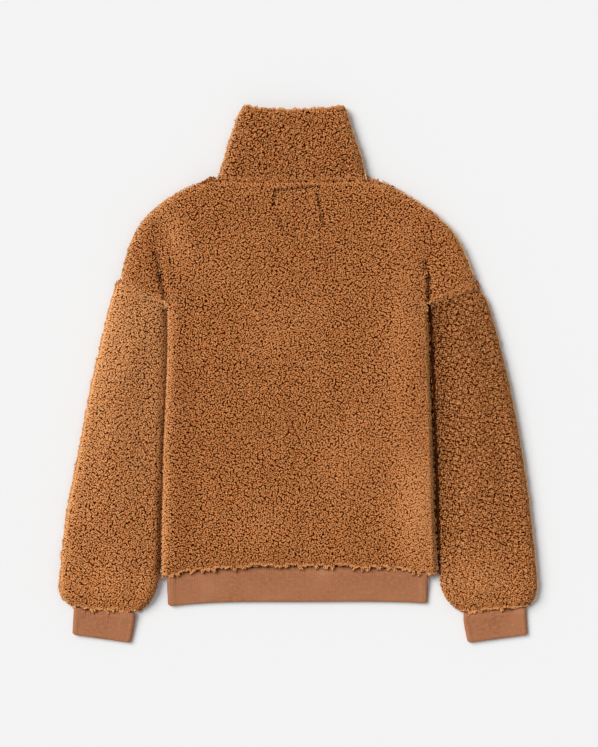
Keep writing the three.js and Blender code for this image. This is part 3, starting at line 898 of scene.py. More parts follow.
for piece in ("sleeve_left", "sleeve_right"):
    outside, under = both_sides(piece)
    tube = np.concatenate([spread(outside, *ends(outside), 24), spread(under, *ends(under), 24)[:, ::-1]], 1)
    cloths[piece] = backing_cloth(piece, tube, ring=True)


def cloth_area(piece):
    """Half the surface of a closed wall, in square metres."""
    return sum(face.area for face in piece.data.polygons) / 2


for name, cloth in cloths.items():
    print(f"{name}: cloth of {cloth_area(cloth):.3f} square metres, {len(cloth.data.polygons) * 2} triangles")

# %% [markdown]
# ## The pile
#
# Sherpa pile is drawn into short curls that lie over each other, and the curls draw together into clumps,
# with a fine crack between two clumps, where the roots show and a painted shade darkens it. A curl is
# modelled as two strands that bend the same way. Each strand is a small closed body that rises from the
# backing and comes to a tip, and well over a hundred thousand of them are written as a few meshes from
# arrays. A particle system could grow hair here, but hair isn't a mesh, and its strands would be too many.

# %% Where curls stand, and which way they lie
random = np.random.default_rng(7)


class Waves:
    """A smooth random field over the plan, about -1 to 1, made of a few waves."""

    def __init__(self, size, count=9):
        angle = random.uniform(0, 2 * np.pi, count)
        length = size * random.uniform(0.7, 1.6, count)
        self.kx, self.ky = np.cos(angle) * 2 * np.pi / length, np.sin(angle) * 2 * np.pi / length
        self.phase = random.uniform(0, 2 * np.pi, count)
        self.scale = 1 / np.sqrt(count / 2)

    def __call__(self, x, y):
        total = 0
        for kx, ky, phase in zip(self.kx, self.ky, self.phase):
            total = total + np.cos(kx * x + ky * y + phase)
        return total * self.scale


class Clumps:
    """Curls draw together into clumps: the plan is divided among scattered middles."""

    def __init__(self, size):
        self.size, self.count = size, int(1100 / size)
        self.middle = random.uniform(0.1, 0.9, (self.count, self.count, 2))
        self.turn = random.uniform(-1, 1, (self.count, self.count))

    def __call__(self, x, y):
        """For places of the plan: the way to the middle of their clump, how far it is, how near the border
        between two clumps is (1 on it), and the clump's own random number."""
        a = (0.9 * x - 0.44 * y) / self.size + self.count / 2
        b = (0.44 * x + 0.9 * y) / self.size + self.count / 2
        found = []
        for i in (-1, 0, 1):
            for j in (-1, 0, 1):
                row, column = a.astype(int) + i, b.astype(int) + j
                middle = self.middle[row, column]
                da, db = row + middle[:, 0] - a, column + middle[:, 1] - b
                found.append((np.hypot(da, db), da, db, self.turn[row, column]))
        away, da, db, turn = (np.array(part) for part in zip(*found))
        order = np.argsort(away, 0)
        first, every = order[0], np.arange(len(a))
        gap = away[order[1], every] - away[first, every]
        da, db = da[first, every], db[first, every]
        way = np.column_stack([0.9 * da + 0.44 * db, 0.9 * db - 0.44 * da]) * self.size
        return way, away[first, every], np.exp(-((gap / 0.3) ** 2)), turn[first, every]


swirl, twist = Waves(70), Waves(24)
fine_clumps, coarse_clumps = Clumps(6.5), Clumps(7.8)

# Where a hand has brushed the pile flat: an oval, turned by an angle, and how far it is calmed.
brushed = table("x y across along turn calm", [
    [166, -190, 30, 95, 2, 0.9],
    [150, 60, 22, 120, -3, 0.45],
    [-180, 205, 16, 52, 24, 0.75],
    [-60, -215, 40, 30, 0, 0.35],
    [-284, 40, 34, 110, -12, 0.6],
    [-318, -150, 28, 140, -11, 0.45],
    [-30, 60, 60, 46, 30, 0.3],
    [70, -120, 36, 60, -20, 0.3],
    [-110, 150, 40, 30, 20, 0.25],
    [-183, 40, 9, 160, -2, 0.45],
    [-190, -200, 9, 110, -3, 0.4],
    [-262, -305, 60, 30, -8, 0.4],
    [258, -300, 60, 38, 8, 0.55],
])


def calm_at(x, y):
    """How flat the pile has been brushed at points of the plan, 0 to 1."""
    left = np.ones(np.shape(x))
    for spot in brushed:
        turn = math.radians(spot["turn"])
        dx, dy = x - spot["x"], y - spot["y"]
        a = (dx * math.cos(turn) + dy * math.sin(turn)) / spot["across"]
        b = (dy * math.cos(turn) - dx * math.sin(turn)) / spot["along"]
        left *= 1 - spot["calm"] * np.exp(-(a * a + b * b))
    return 1 - left


def lengths(grid):
    """How long a grid is down its middle, row by row, and how wide each row is."""
    return distances(grid[:, COLUMNS // 2]), np.linalg.norm(np.diff(grid, axis=1), axis=2).sum(1)


TURN, JITTER = 0.45, 0.36   # how the lattice below is turned, and how far its places are moved


def scattered(name, spacing, apart):
    """Evenly scattered places on a form, as shares u across it and v along it: a lattice turned by an angle,
    so that its rows don't show, with each place moved a little."""
    height, width = lengths(forms[name])
    long, wide = height[-1], width.max()
    reach = math.hypot(long, wide) / 2
    rows, columns = int(reach / apart) + 1, int(reach / spacing) + 1
    a, b = np.meshgrid(np.arange(-columns, columns + 1), np.arange(-rows, rows + 1))
    a = a + 0.5 * (b % 2) + random.uniform(-JITTER, JITTER, a.shape)
    b = b + random.uniform(-JITTER, JITTER, a.shape)
    a, b = a.ravel() * spacing, b.ravel() * apart
    s = a * math.cos(TURN) - b * math.sin(TURN)
    t = a * math.sin(TURN) + b * math.cos(TURN) + long / 2
    v = np.interp(t, height, np.linspace(0, 1, len(height)))
    here = np.interp(t, height, width)
    inside = (t > 0) & (t < long) & (np.abs(s) < here / 2)
    return (s / here + 0.5)[inside], v[inside]


print(f"{len(brushed)} brushed places, clumps {fine_clumps.size} mm across, or {coarse_clumps.size} mm")

# %% A strand
# It has five points: the root, the left side, crest and right side of its widest place, and the tip.
STATIONS = np.array([0, 0.55, 1])              # where root, crest and tip lie along it
HEIGHTS = (-3.4, 0, -2.2)                      # and how high, from the reach of the pile
GIRTH = 1.15                                   # the widest place, as a share of the width asked for
# How far up the colour ramp each point of a strand lies: the root and the sides low, as painted shade, the
# crest high.
STRAND_LIFT = np.array([0, 0.3, 1, 0.3, 0.45])
STRAND_ACROSS = np.array([0, -1, 0, 1, 0])
STRAND_ALONG = np.repeat(STATIONS, [1, 3, 1])
STRAND_FACES = np.array([(0, 1, 2), (0, 2, 3), (0, 3, 1), (2, 1, 4), (3, 2, 4), (1, 3, 4)])
STRAND_POINTS = len(STRAND_LIFT)
STRAND_MAP = np.array(
    [[((k + 0.5) / 3, 0), (k / 3, 0.5), ((k + 1) / 3, 0.5)] for k in range(3)]
    + [[((k + 1) / 3, 0.5), (k / 3, 0.5), ((k + 0.5) / 3, 1)] for k in range(3)]
)


def strands(place, out, heading, length, width, bend, lift):
    """The points, faces and flat map of many strands. Each argument has a row for each of them."""
    many = len(place)
    side = np.cross(out, heading)
    centres = []
    for t, height in zip(STATIONS, HEIGHTS):
        along, sway = (t - 0.5) * length, bend * length * ((t - 0.5) ** 2 - 0.08)
        centre = place + heading * along[:, None] + side * sway[:, None]
        centres.append(centre + out * (height + lift)[:, None])
    root, crest, tip = centres
    half = (width * GIRTH / 2)[:, None]
    across = unit(side - heading * (2 * bend * (STATIONS[1] - 0.5))[:, None])
    points = np.stack([root, crest - (across + out) * half, crest, crest + (across - out) * half, tip], 1)
    start = (np.arange(many) * STRAND_POINTS)[:, None, None]
    faces = (start + STRAND_FACES[None]).reshape(-1, 3)
    squares = math.ceil(math.sqrt(many))  # each strand has a small square of the flat map, in rows of so many
    square = np.stack([np.arange(many) % squares, np.arange(many) // squares], 1)[:, None, None]
    places = (square + 0.06 + 0.88 * STRAND_MAP[None]) / squares
    return points.reshape(-1, 3), [faces], [places]


print("a strand has", STRAND_POINTS, "points and", len(STRAND_FACES), "triangles")

# %% The pile of one piece
CURL = (2.56, 2.72)               # from one curl to the next, across and down
BUNDLE = np.array([-0.55, 0.55])  # where the strands of a curl lie, across it
DOME = 0.25                       # how fast a curl falls away from its middle
# In a crease the pile is painted darker, as painted shade, fully so at this depth.
DEEP = 4.8                        # where a crease is this deep, the pile in it is darkest
# For some forms: the sides that aren't under the body, how far the pile leans across them, how much painted
# shade darkens the crack between two clumps, and how much painted light and painted shade the pile gets at
# the top of a form and at its foot, where the light falls on it more or less.
RIM_SIDES = {"sleeve_left_back": ("u0",), "sleeve_right_back": ("u1",)}
LEAN = {"sleeve_left_back": -1.0, "sleeve_right_back": 0.4}
CRACK_SHADE = {"back": 0.08, "sleeve_left_back": 0.08, "sleeve_right_back": 0.31, "collar_back": 0.2}
PAINTED_LIGHT = {"sleeve_left_back": (0.9, 0.05)}
PAINTED_SHADE = {"back": (0.03, 0.03), "sleeve_right_back": (0.18, 0.0), "collar_back": (0.03, 0.03)}


def down_piece(table, name, v):
    """A number that goes from one value at the top of a piece to another at its foot."""
    return np.interp(v, (0, 1), table.get(name, (0, 0)))


def level_with(out, heading):
    """Directions laid level with a face, of which the outward directions are given."""
    return unit(heading - out * (heading * out).sum(1, keepdims=True))


def axes_at(name, u, v):
    """Places on a form, with the directions out of it, across it and down it."""
    grid = forms[name]
    place, out = sample(grid, u, v), unit(sample(facing(grid, faces_up[name]), u, v))
    right = unit(sample(np.gradient(grid, axis=1), u, v))
    down = np.cross(right, out)
    down *= np.where(down[:, 1:2] > 0, -1, 1)
    return place, out, right, down


def from_rim(name, u, v):
    """How far places lie from the sides of a form, and from its nearer end, in millimetres."""
    height, width = lengths(forms[name])
    across = np.interp(v, np.linspace(0, 1, len(width)), width)
    return np.minimum(u, 1 - u) * across, np.minimum(v, 1 - v) * height[-1]


def field_strands(name, size=1.0, low=-1, high=9999):
    """The curls that cover a form between two distances from its rim, each a bundle of strands."""
    upper, sleeve = faces_up[name], name.startswith("sleeve")
    u, v = scattered(name, CURL[0] * size, CURL[1] * size)
    from_side, from_end = from_rim(name, u, v)
    distance = np.minimum(from_side, from_end)
    inside = (distance > low) & (distance < high)
    u, v, from_side = u[inside], v[inside], from_side[inside]
    place, out, right, down = axes_at(name, u, v)
    x, y, many = place[:, 0], place[:, 1], len(u)
    calm = calm_at(x, y) if upper else np.zeros(many)
    wild = 1 - calm
    clumps = fine_clumps if name == "back" else coarse_clumps
    to_middle, away, border, turn = clumps(x, y)
    angle = wild * (0.5 * swirl(x, y) + 0.5 * twist(x, y) + 0.6 * turn + random.normal(0, 0.44, many))
    angle += random.normal(0, 0.12, many) + LEAN.get(name, 0)
    near = np.exp(-from_side / 5)  # at the rolled sides the pile lies outwards
    free = {"sleeve_left_back": u < 0.5, "sleeve_right_back": u > 0.5}.get(name, True)
    sideways = np.where(u < 0.5, -1.0, 1.0) * near
    heading = down * np.cos(angle)[:, None] + right * (np.sin(angle) + 0.8 * sideways)[:, None]
    heading = level_with(out, heading)
    side = np.cross(out, heading)
    folds = creases.get(name, [])
    sunk = rise_at(folds, x, y)
    painted_crease_shade = near_creases(folds if sleeve else [], 11, x, y) * (0.3 if "right" in name else 0.12)
    crack_shade = CRACK_SHADE.get(name, 0.3) * wild
    painted_light = down_piece(PAINTED_LIGHT, name, v)
    place[:, :2] += 0.09 * to_middle * wild[:, None]
    # painted shade: deep in a crease, beside a sleeve's crease, by the table of painted shade for each form,
    # and in the crack between two clumps
    shade = 0.93 * eased(-sunk / DEEP) + painted_crease_shade + down_piece(PAINTED_SHADE, name, v)
    shade += crack_shade * border * random.uniform(0.3, 1.3, many)
    curl = {
        "bend": wild * random.uniform(-1.0, 1.0, many),
        "lift": wild * (random.uniform(-0.5, 0.3, many) - 0.5 * np.minimum(away, 1) ** 2),
        # tone: random from curl to curl and clump to clump, plus painted light: brushed flat pile is painted
        # paler, as a painted sheen, and some forms are painted paler at the top, where the light falls
        "tone": 0.15 * random.normal(0, 1, many) * wild + 0.8 * calm + painted_light + 0.2 * turn * wild,
        # painted light: strands near a rim that isn't under the body are painted paler, those underneath more
        # so against their shade, and the middles of clumps a little paler; the painted light of the form is
        # added too
        "paler": (0.3 if upper else 0.55) * near * free + 0.06 * painted_light + 0.3 * crack_shade * (0.6 - border),
        "shade": np.minimum(shade, 0.95),
    }
    each = len(BUNDLE)
    curl = {key: np.repeat(value, each) for key, value in curl.items()}
    place, out, heading, side = (np.repeat(value, each, 0) for value in (place, out, heading, side))
    wild, calm = np.repeat(wild, each), np.repeat(calm, each)
    across = size * (np.tile(BUNDLE, many) + random.normal(0, 0.15, many * each))
    along = size * random.uniform(-0.7, 0.7, many * each)
    lean = -0.1 * across / size * wild + random.normal(0, 0.1, many * each)  # towards each other at the tips
    return {
        "place": place + side * across[:, None] + heading * along[:, None],
        "out": out,
        "heading": unit(heading + side * lean[:, None]),
        "length": size * (5.0 + 0.6 * random.normal(0, 1, many * each) + 1.8 * calm),
        "width": size * (1.9 + 0.15 * random.normal(0, 1, many * each) + 0.3 * calm),
        "bend": curl["bend"],
        "lift": curl["lift"] - DOME * wild * (across / size) ** 2 + random.uniform(-0.5, 0.3, many * each),
        "tone": curl["tone"] + 0.6 * random.normal(0, 1, many * each),
        # a strand at the side of its curl is painted darker, as painted shade
        "paler": curl["paler"] - 0.05 * (across / size) ** 2 * wild,
        "shade": curl["shade"],
    }


def fringe(name, side, spacing, length, reach, tuft, lift, part=(0.0, 1.0), inset=0.002, pale=0.1, fine=1.0):
    """Strands along one edge of a form, or a part of it, drawn together into pointed tufts that hang out
    over it. The edges are u0 and u1 at the sides, v0 at the first row and v1 at the last."""
    upper, sideways, (first, last) = faces_up[name], side[0] == "u", part
    height, width = lengths(forms[name])
    total = height[-1] if sideways else width[0 if side == "v0" else -1]
    many = int(total * (last - first) / spacing)
    share = first + (last - first) * (np.arange(many) + random.uniform(0, 1, many)) / many
    edge = np.full(many, inset if side[1] == "0" else 1 - inset)
    place, out, right, down = axes_at(name, *((edge, share) if sideways else (share, edge)))
    if sideways:
        over, aside = right * (1 if side == "u1" else -1), down
    else:
        over, aside = down * (-1 if (side == "v0") != name.startswith("collar") else 1), right
    # The form rolls down at its rim, but the pile on it stands out level.
    out = unit(out * 0.35 + np.array([0, 0, 0.65 if upper else -0.65]))
    tufts = np.sort((np.arange(int(total / tuft)) + random.uniform(-0.3, 0.3, int(total / tuft))) * tuft)
    at = share * total
    nearest = np.abs(at[:, None] - tufts[None]).argmin(1)
    off = np.clip((at - tufts[nearest]) / tuft, -0.6, 0.6)
    tuft_reach, tuft_turn = random.uniform(-0.1, 1.1, len(tufts)), random.normal(0, 0.35, len(tufts))
    angle = -0.8 * off + tuft_turn[nearest] + random.normal(0, 0.25, many)
    if sideways:
        angle = random.choice([-1, 1], many) * random.uniform(0.3, 1.2, many)
    heading = level_with(out, over * np.cos(angle)[:, None] + aside * np.sin(angle)[:, None])
    if side == "v1" and upper:  # the tufts at a foot hang down over the rib
        heading = unit(heading - np.array([0, 0, 1]) * random.uniform(0.0, 0.55, (many, 1)))
    far = reach * tuft_reach[nearest] * (1 - 1.6 * off**2) * random.uniform(0.35, 1, many)
    long = length * random.uniform(0.8, 1.2, many)
    return {
        "place": place + heading * (far - long / 2)[:, None],
        "out": out,
        "heading": heading,
        "length": long,
        "width": fine * random.uniform(1.8, 2.5, many),
        "bend": random.uniform(-0.4, 0.4, many),
        "lift": lift + random.uniform(-1.0, 0.4, many),
        # painted light: the tufts that stand out over an edge are paler and lighter in tone, and painted
        # darker towards their sides, as painted shade
        "tone": random.normal(0.4, 0.9, many),
        "paler": pale - 0.2 * np.abs(off),
        "shade": down_piece(PAINTED_SHADE, name, share if sideways else edge),
    }


print(f"a curl of {len(BUNDLE)} strands every {CURL[0]} mm across and {CURL[1]} mm down")


# %% Pile over the seams
SEAM_HALF = 5.0   # how far to each side of a seam they stand


def over_seam(line, heights, room):
    """Strands that lie over a seam, level with the pile on both sides. The line is points of the plan, and
    the room is how many square millimetres there are to a strand."""
    length = distances(line)
    many = int(length[-1] * 2 * SEAM_HALF / room)
    at, off = random.uniform(0, length[-1], many), random.uniform(-SEAM_HALF, SEAM_HALF, many)
    along = unit(read_off(line, at + 2, length) - read_off(line, at - 2, length))
    place = read_off(line, at, length) + left_of(along) * off[:, None]
    place = np.column_stack([place, heights(place)])
    x, y = place[:, 0], place[:, 1]
    _, away, border, turn = coarse_clumps(x, y)
    angle = 0.6 * swirl(x, y) + 0.6 * twist(x, y) + turn + random.normal(0, 0.5, many)
    heading = np.column_stack([np.sin(angle), -np.cos(angle), np.zeros(many)])
    return {
        "place": place,
        "out": np.repeat([[0.0, 0.0, 1.0]], many, 0),
        "heading": heading,
        "length": random.uniform(3.8, 5.8, many),
        "width": random.uniform(1.7, 2.2, many),
        "bend": random.uniform(-1, 1, many),
        "lift": random.uniform(-1.9, 0.1, many) - away**2,
        # painted shade: the strands over a seam are darker in tone and darkest along its line, and shaded in
        # the creases and at the borders of clumps
        "tone": random.normal(-0.3, 1, many) + 0.4 * turn,
        "paler": -0.05 * np.exp(-((off / 1.8) ** 2)),
        "shade": 0.8 * eased(-rise_at(all_creases, x, y) / 6) + 0.04 + 0.25 * border,
    }


def clear_of_zip(group):
    """The strands that don't stand in the slit of the zip."""
    x, y = group["place"][:, 0], group["place"][:, 1]
    return chosen(group, (np.abs(x - ZIP_X) > SLIT_HALF + 2.5) | (y < ZIP_END - 3))


def put_together(groups):
    """Several groups of strands as one."""
    return {key: np.concatenate([group[key] for group in groups]) for key in groups[0]}


def chosen(group, keep):
    """Those strands of a group that are kept."""
    return {key: value[keep] for key, value in group.items()}


def pile_mesh(name, group):
    """One mesh of strands, which rides with the garment."""
    shape = {key: value for key, value in group.items() if key not in ("tone", "paler", "shade")}
    points, faces, places = strands(**shape)
    points[:, 2] = np.maximum(points[:, 2], FLOOR_GAP)
    made = new_mesh(name, points, faces, sherpa, places)
    many = len(group["place"])
    strand = np.empty((many, STRAND_POINTS, 3))   # where the fibres' noise is read: finest across the strand
    strand[..., 0] = STRAND_ACROSS * group["width"][:, None] * 0.5
    strand[..., 1] = STRAND_ALONG * group["length"][:, None] * 0.22
    strand[..., 2] = np.arange(many)[:, None] * 3.1
    attribute(made, "strand", strand.reshape(-1, 3))
    attribute(made, "lift", (STRAND_LIFT[None] + group["paler"][:, None]).ravel())
    for key in ("tone", "shade"):
        attribute(made, key, np.repeat(group[key], STRAND_POINTS))
    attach(made, "garment")
    print(f"{name}: {many} strands, {many * len(STRAND_FACES)} triangles")
    return made


print("the zip's slit is kept clear down to y =", (ZIP_END - 3).round(1))


# %% Every pile
RIM_SIZE, UNDER_SIZE = 1.6, 2.7     # of the curls underneath: round the rim, and where they are hidden
THIRD = 75                          # the back's pile is three meshes, parted at this x on each side
FRINGES = {   # where a form ends in a seam or an opening: spacing, length, reach, tuft and lift
    "back": {"v1": (0.34, 8, 12, 7.5, 0.6)},
    "front": {"v0": (4, 8, 1, 9, -1), "v1": (3, 9, 4, 9, -1)},
    "collar_back": {"v1": (0.6, 5.5, 4.5, 5, -0.4)},
    "collar_front": {"v0": (4, 8, 1, 9, -1), "v1": (2, 7, 2, 7, -1)},
    "sleeve_back": {"v1": (0.34, 8, 11, 7.5, 0.6)},
    "sleeve_front": {"v0": (4, 8, 1, 9, -1), "v1": (3, 9, 4, 9, -1)},
}
right_side = forms["back"][:, -1]   # how far down the right side the shoulder and the underarm come
shoulder = float(right_side[:, 0].argmax() / len(right_side)) - 0.01
underarm = float(np.abs(right_side[:, 1] - seam_lines["right"][-1, 1]).argmin() / len(right_side)) + 0.02


def all_strands(name):
    """Every strand of a form: its field, its fringes, and the fine ones along its rolled sides, painted pale
    as painted light.
    """
    upper = faces_up[name]
    if upper:
        groups = [field_strands(name)]
    else:
        groups = [field_strands(name, UNDER_SIZE, low=10), field_strands(name, RIM_SIZE, low=2.5, high=14)]
    for side, numbers in FRINGES[name.replace("_left", "").replace("_right", "")].items():
        groups.append(fringe(name, side, *numbers))
    if upper:
        for side in RIM_SIDES.get(name, ("u0", "u1")):
            part = (0.0, shoulder if name == "back" else 1.0)
            groups.append(fringe(name, side, 0.55, 4.5, 4.2, 6, 2.0, part, pale=0.8, fine=0.6))
    if name == "back":  # where it lies over the sleeves, its edge is ragged with curls
        for side in ("u0", "u1"):
            part = (underarm, 0.985)
            groups.append(fringe(name, side, 0.6, 5.5, 5.0, 5, -0.8, part, inset=0.014, pale=0.05))
    return put_together(groups) if upper else clear_of_zip(put_together(groups))


groups = {name: all_strands(name) for name in forms}

upper_side = Heights()
seam_lines["neck left"] = np.array([(-143.0, 269.5), (-126.0, 279.0), (-114.0, 279.0)])  # top of a shoulder
seam_lines["neck right"] = np.array([(126.0, 266.5), (103.0, 278.0)])
seams = {}
for name, line in seam_lines.items():
    room = 1.8 if " " in name else 2.4
    seams[name] = over_seam(line if "neck" in name else line[1:], upper_side, room)
groups["back"] = put_together([groups["back"], *(seams["neck" + end] for end in ("", " left", " right"))])
for side in OUTWARD:
    name = f"sleeve_{side}_back"
    groups[name] = put_together([groups[name], seams[side]])
across = groups["back"]["place"][:, 0]
whole = {   # for each mesh of pile, the cloth that it stands on, and its strands
    "back_pile_left": ("back", chosen(groups["back"], across < -THIRD)),
    "back_pile_middle": ("back", chosen(groups["back"], (across >= -THIRD) & (across < THIRD))),
    "back_pile_right": ("back", chosen(groups["back"], across >= THIRD)),
    "front_pile": ("front", groups["front"]),
}
for piece in ("collar", "sleeve_left", "sleeve_right"):
    whole[piece + "_pile"] = (piece, put_together([groups[piece + "_back"], groups[piece + "_front"]]))
piles = {name: pile_mesh(name, group) for name, (_, group) in whole.items()}
for name, (node, _) in whole.items():
    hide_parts(node)

# %% [markdown]
# ## The ribbed waistband and cuffs
#
# The hem and the cuffs are closed with a fine rib knit, folded double, so their free edge is a soft roll.
# Each is a flat tube: two layers that lie on each other, joined round the sides. It could be a thickened
# cylinder pressed flat, but lofting one closed outline along the width gives the furrows of the rib and
# the roll of the edge in one go.

# %% Rib material
def rib_material():
    """The rib: a ridge and a row of slanting stitches for each rib, in a yarn of mixed browns. Each ridge is
    painted lighter and each furrow darker, as painted shade.
    """
    made, shader, start = fabric_material("rib knit", 0.8, 0.12, (1.0, 0.85, 0.7))
    knit, place = named(start, "knit", pick=1), on_piece(start)
    wale, course = axes_of(knit)
    ridge = wale.maths("COSINE", wale * (2 * math.pi)) * 0.5 + 0.5
    slant = wale.maths("ABSOLUTE", wale.maths("PINGPONG", wale, 0.5) - 0.25)
    stitch = wale.maths("SINE", course * (2 * math.pi) + slant * 9)
    yarn, uneven = noise(start, place, 900), noise(start, place, 26, 3.0)
    heather = noise(start, knit, 0.42, 3.0, 0.6)
    # painted shade: each rib's ridge is lighter and the furrow beside it darker; the stitches are a pattern
    light = ridge * 0.7 + stitch * 0.12 + 0.1
    colour = light.between(0.0, 0.8).mixed((0.368, 0.148, 0.069), (0.425, 0.175, 0.083))
    paler = (yarn - 0.5) * 0.5 + (uneven - 0.5) * 0.9
    colour = paler.between(0.0, 0.6).mixed(colour, (0.58, 0.27, 0.14))
    darker = (0.5 - uneven) * 0.8 + (0.5 - heather) * 1.3
    colour = darker.between(0.0, 0.6).mixed(colour, (0.29, 0.105, 0.048))
    colour = ((heather - 0.5) * 1.3).between(0.0, 0.5).mixed(colour, (0.52, 0.235, 0.12))
    finish(start, shader, colour, ridge * 0.5 + stitch * 0.25 + yarn * 0.25)
    return made


rib = rib_material()
print("rib material:", len(rib.node_tree.nodes), "nodes")

# %% The outline of a folded tube
RIB_PITCH = 2.4     # from one rib to the next, millimetres
PER_RIB = 4         # points across a rib
COURSE = 1.6        # from one row of stitches to the next
FURROW = 0.2        # how deep the furrows between ribs are
LEVELS = (0.0, 0.25, 0.5, 0.72, 0.88, 0.965)          # rows of each layer, from the seam to the free edge
ROLL = ((0.45, 0.86), (0.85, 0.55), (0.55, 0.18))     # the roll of the free edge: how far out, and how thick
FOLD, ROUND = 4.2, 2.6                                # radii of the folds at the sides, and of the corners
SIDE_INSET = 0.05                                     # the rib keeps this far inside the sides of its solid
THINNEST = 0.05                                       # half the height of the tube at its sides


def round_outline(over, below, end, middle, half, toward):
    """The rows round a folded tube: over it, round its free edge, through the hollow between the layers, and
    back underneath. It gets both layers, the line of the free edge, and the middle and half of the height."""
    loop = []
    for layer, way in ((over, 1), (below, -1)):
        rows = [*layer]
        for share_out, share_z in ROLL:
            row = layer[-1] * (1 - share_out) + end * share_out
            row[:, 2] = middle[-1] + way * half[-1] * share_z
            rows.append(row)
        for k, short in ((3, 0.0), (0, 2.0)):   # the hollow ends just short of the seam
            row = layer[k].copy()
            row[:, 1] -= toward * short
            row[:, 2] = middle[k] + way * half[k] * 0.03
            rows.append(row)
        loop += rows[::way]
    return np.array(loop)


print(f"an outline has {2 * (len(LEVELS) + len(ROLL) + 2)} rows")


# %% A folded tube of rib
def rib_tube(name, node, first, last):
    """A folded tube of rib in the place of a solid, from its seam to its free edge."""
    toward = 1 if last(0) < first(0) else -1   # the way from the free edge to the seam
    lines = [part_way(first, last, t) for t in LEVELS]
    cuts = [cut_under(node, line) for line in lines]
    sides = [(bits[:, :, 0].min(), bits[:, :, 0].max()) for bits in cuts]
    sides[0] = sides[1]  # as wide at the seam, under the pile, as below it
    width = max(high - low for low, high in sides)
    ribs = int(width / RIB_PITCH)
    count = ribs * PER_RIB + 1
    share = np.linspace(0, 1, count)
    even = 0.5 - 0.5 * np.cos(np.pi * share)
    share = 0.93 * share + 0.07 * even  # a little closer at the sides
    over, below = [], []
    for line, bits, (low, high) in zip(lines, cuts, sides):
        x = low + SIDE_INSET + (high - low - 2 * SIDE_INSET) * share
        over.append(np.stack([x, line(x), height_of(bits, x, True)], 1))
        below.append(np.stack([x, line(x), height_of(bits, x, False)], 1))
    over, below = np.array(over), np.array(below)
    from_side = np.minimum(share, 1 - share) * width
    round_side = np.sqrt(np.clip(1 - (1 - np.clip(from_side / FOLD, 0, 1)) ** 2, 0, 1))
    middle = (over[..., 2] + below[..., 2]) / 2
    half = (over[..., 2] - below[..., 2]) / 2
    half = np.maximum(half.max(1, keepdims=True) * 0.96 * round_side[None], THINNEST)
    over[..., 2], below[..., 2] = middle + half, middle - half
    below[..., 2] = np.maximum(below[..., 2], FLOOR_GAP)
    corner_in = 2.0 * np.exp(-(from_side / ROUND) ** 2)
    for k, t in enumerate(LEVELS):
        pull = max(t - 0.6, 0) / 0.365
        over[k, :, 1] += toward * corner_in * pull
        below[k, :, 1] += toward * corner_in * pull
    end = np.stack([over[-1, :, 0], last(over[-1, :, 0]) + toward * (corner_in + 0.1), middle[-1]], 1)
    loop = round_outline(over, below, end, middle, half, toward)
    furrow = 0.5 - 0.5 * np.cos(2 * np.pi * np.arange(count) / PER_RIB)
    depth = FURROW * np.clip(from_side / 5, 0, 1) * furrow
    for row in range(len(LEVELS)):
        loop[row, :, 2] -= depth
        loop[-1 - row, :, 2] = np.maximum(loop[-1 - row, :, 2] + depth, FLOOR_GAP)
    for row in (6, 7, -8, -7):  # the ribs run on round the roll
        loop[row, :, 1] += toward * depth
    around, along = loop.shape[:2]
    index = np.arange(around * along).reshape(around, along)
    index = np.concatenate([index, index[:1]])
    body = quads(*(index[c] for c in SQUARE))
    caps = np.stack([index[:-1, 0][::-1], index[:-1, -1]])
    at = np.stack(np.meshgrid(np.linspace(0, 1, along), np.linspace(0, 0.97, around + 1)), -1)
    body_map = np.stack([at[c].reshape(-1, 2) for c in SQUARE], 1)
    turn = np.linspace(0, 2 * np.pi, around, endpoint=False)
    circle = 0.012 * np.stack([np.cos(turn), np.sin(turn)], 1)
    cap_map = np.stack([circle + [x, 0.985] for x in (0.02, 0.06)])
    if toward < 0:
        body, caps, body_map, cap_map = (group[:, ::-1] for group in (body, caps, body_map, cap_map))
    made = new_mesh(name, loop.reshape(-1, 3), [body, caps], rib, [body_map, cap_map])
    knit = np.zeros((around, along, 3))
    knit[..., 0] = np.arange(along)[None] / PER_RIB
    knit[..., 1] = (distances(loop[:, along // 2]) / COURSE)[:, None]
    attribute(made, "knit", knit.reshape(-1, 3))
    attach(made, "garment")
    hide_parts(node)
    print(f"{name}: {ribs} ribs, {len(body) * 2} triangles, {cloth_area(made):.4f} square metres")
    return made


band_low = edge_line("waistband", -184, 182, False)
band_high = edge_line("waistband", -184, 182, True)
ribs = {"waistband": rib_tube("waistband_rib", "waistband", band_high, band_low)}
for side, out in OUTWARD.items():
    node = "cuff_" + side
    edge = straight_line(corner(node, (out, -2)), corner(node, (-out, -3)))
    ribs[node] = rib_tube(node + "_rib", node, sleeve_lines(side)[1], edge)

# %% [markdown]
# ## The cut of the cloth
#
# Every piece of cloth is listed with the size that it was cut to, and printed beside the area of its cloth.
# The sleeves and the collar are counted all round, and the ribs are folded double.

# %% Sheets of cloth
cloth_cuts = {  # width and length of the cut, and its area
    "back": (0.525, 0.575, 0.230),
    "front": (0.525, 0.570, 0.222),
    "collar": (0.430, 0.155, 0.046),
    "sleeve_left": (0.320, 0.490, 0.119),
    "sleeve_right": (0.320, 0.490, 0.119),
}
rib_cuts = {"waistband": (0.760, 0.055), "cuff_left": (0.190, 0.048), "cuff_right": (0.190, 0.048)}
for name, (width, length, area) in cloth_cuts.items():
    made, on = cloths[name], ["front_cloth" if name == "back" else "floor"]
    its_piles = [piles[pile] for pile, (node, _) in whole.items() if node == name]
    print(f"{name}: cut {width} by {length} m, {cloth_area(made):.4f} square metres of cloth")
for node, (width, length) in rib_cuts.items():
    print(f"{node}: cut {width} by {length} m, {cloth_area(ribs[node]):.4f} square metres of rib")

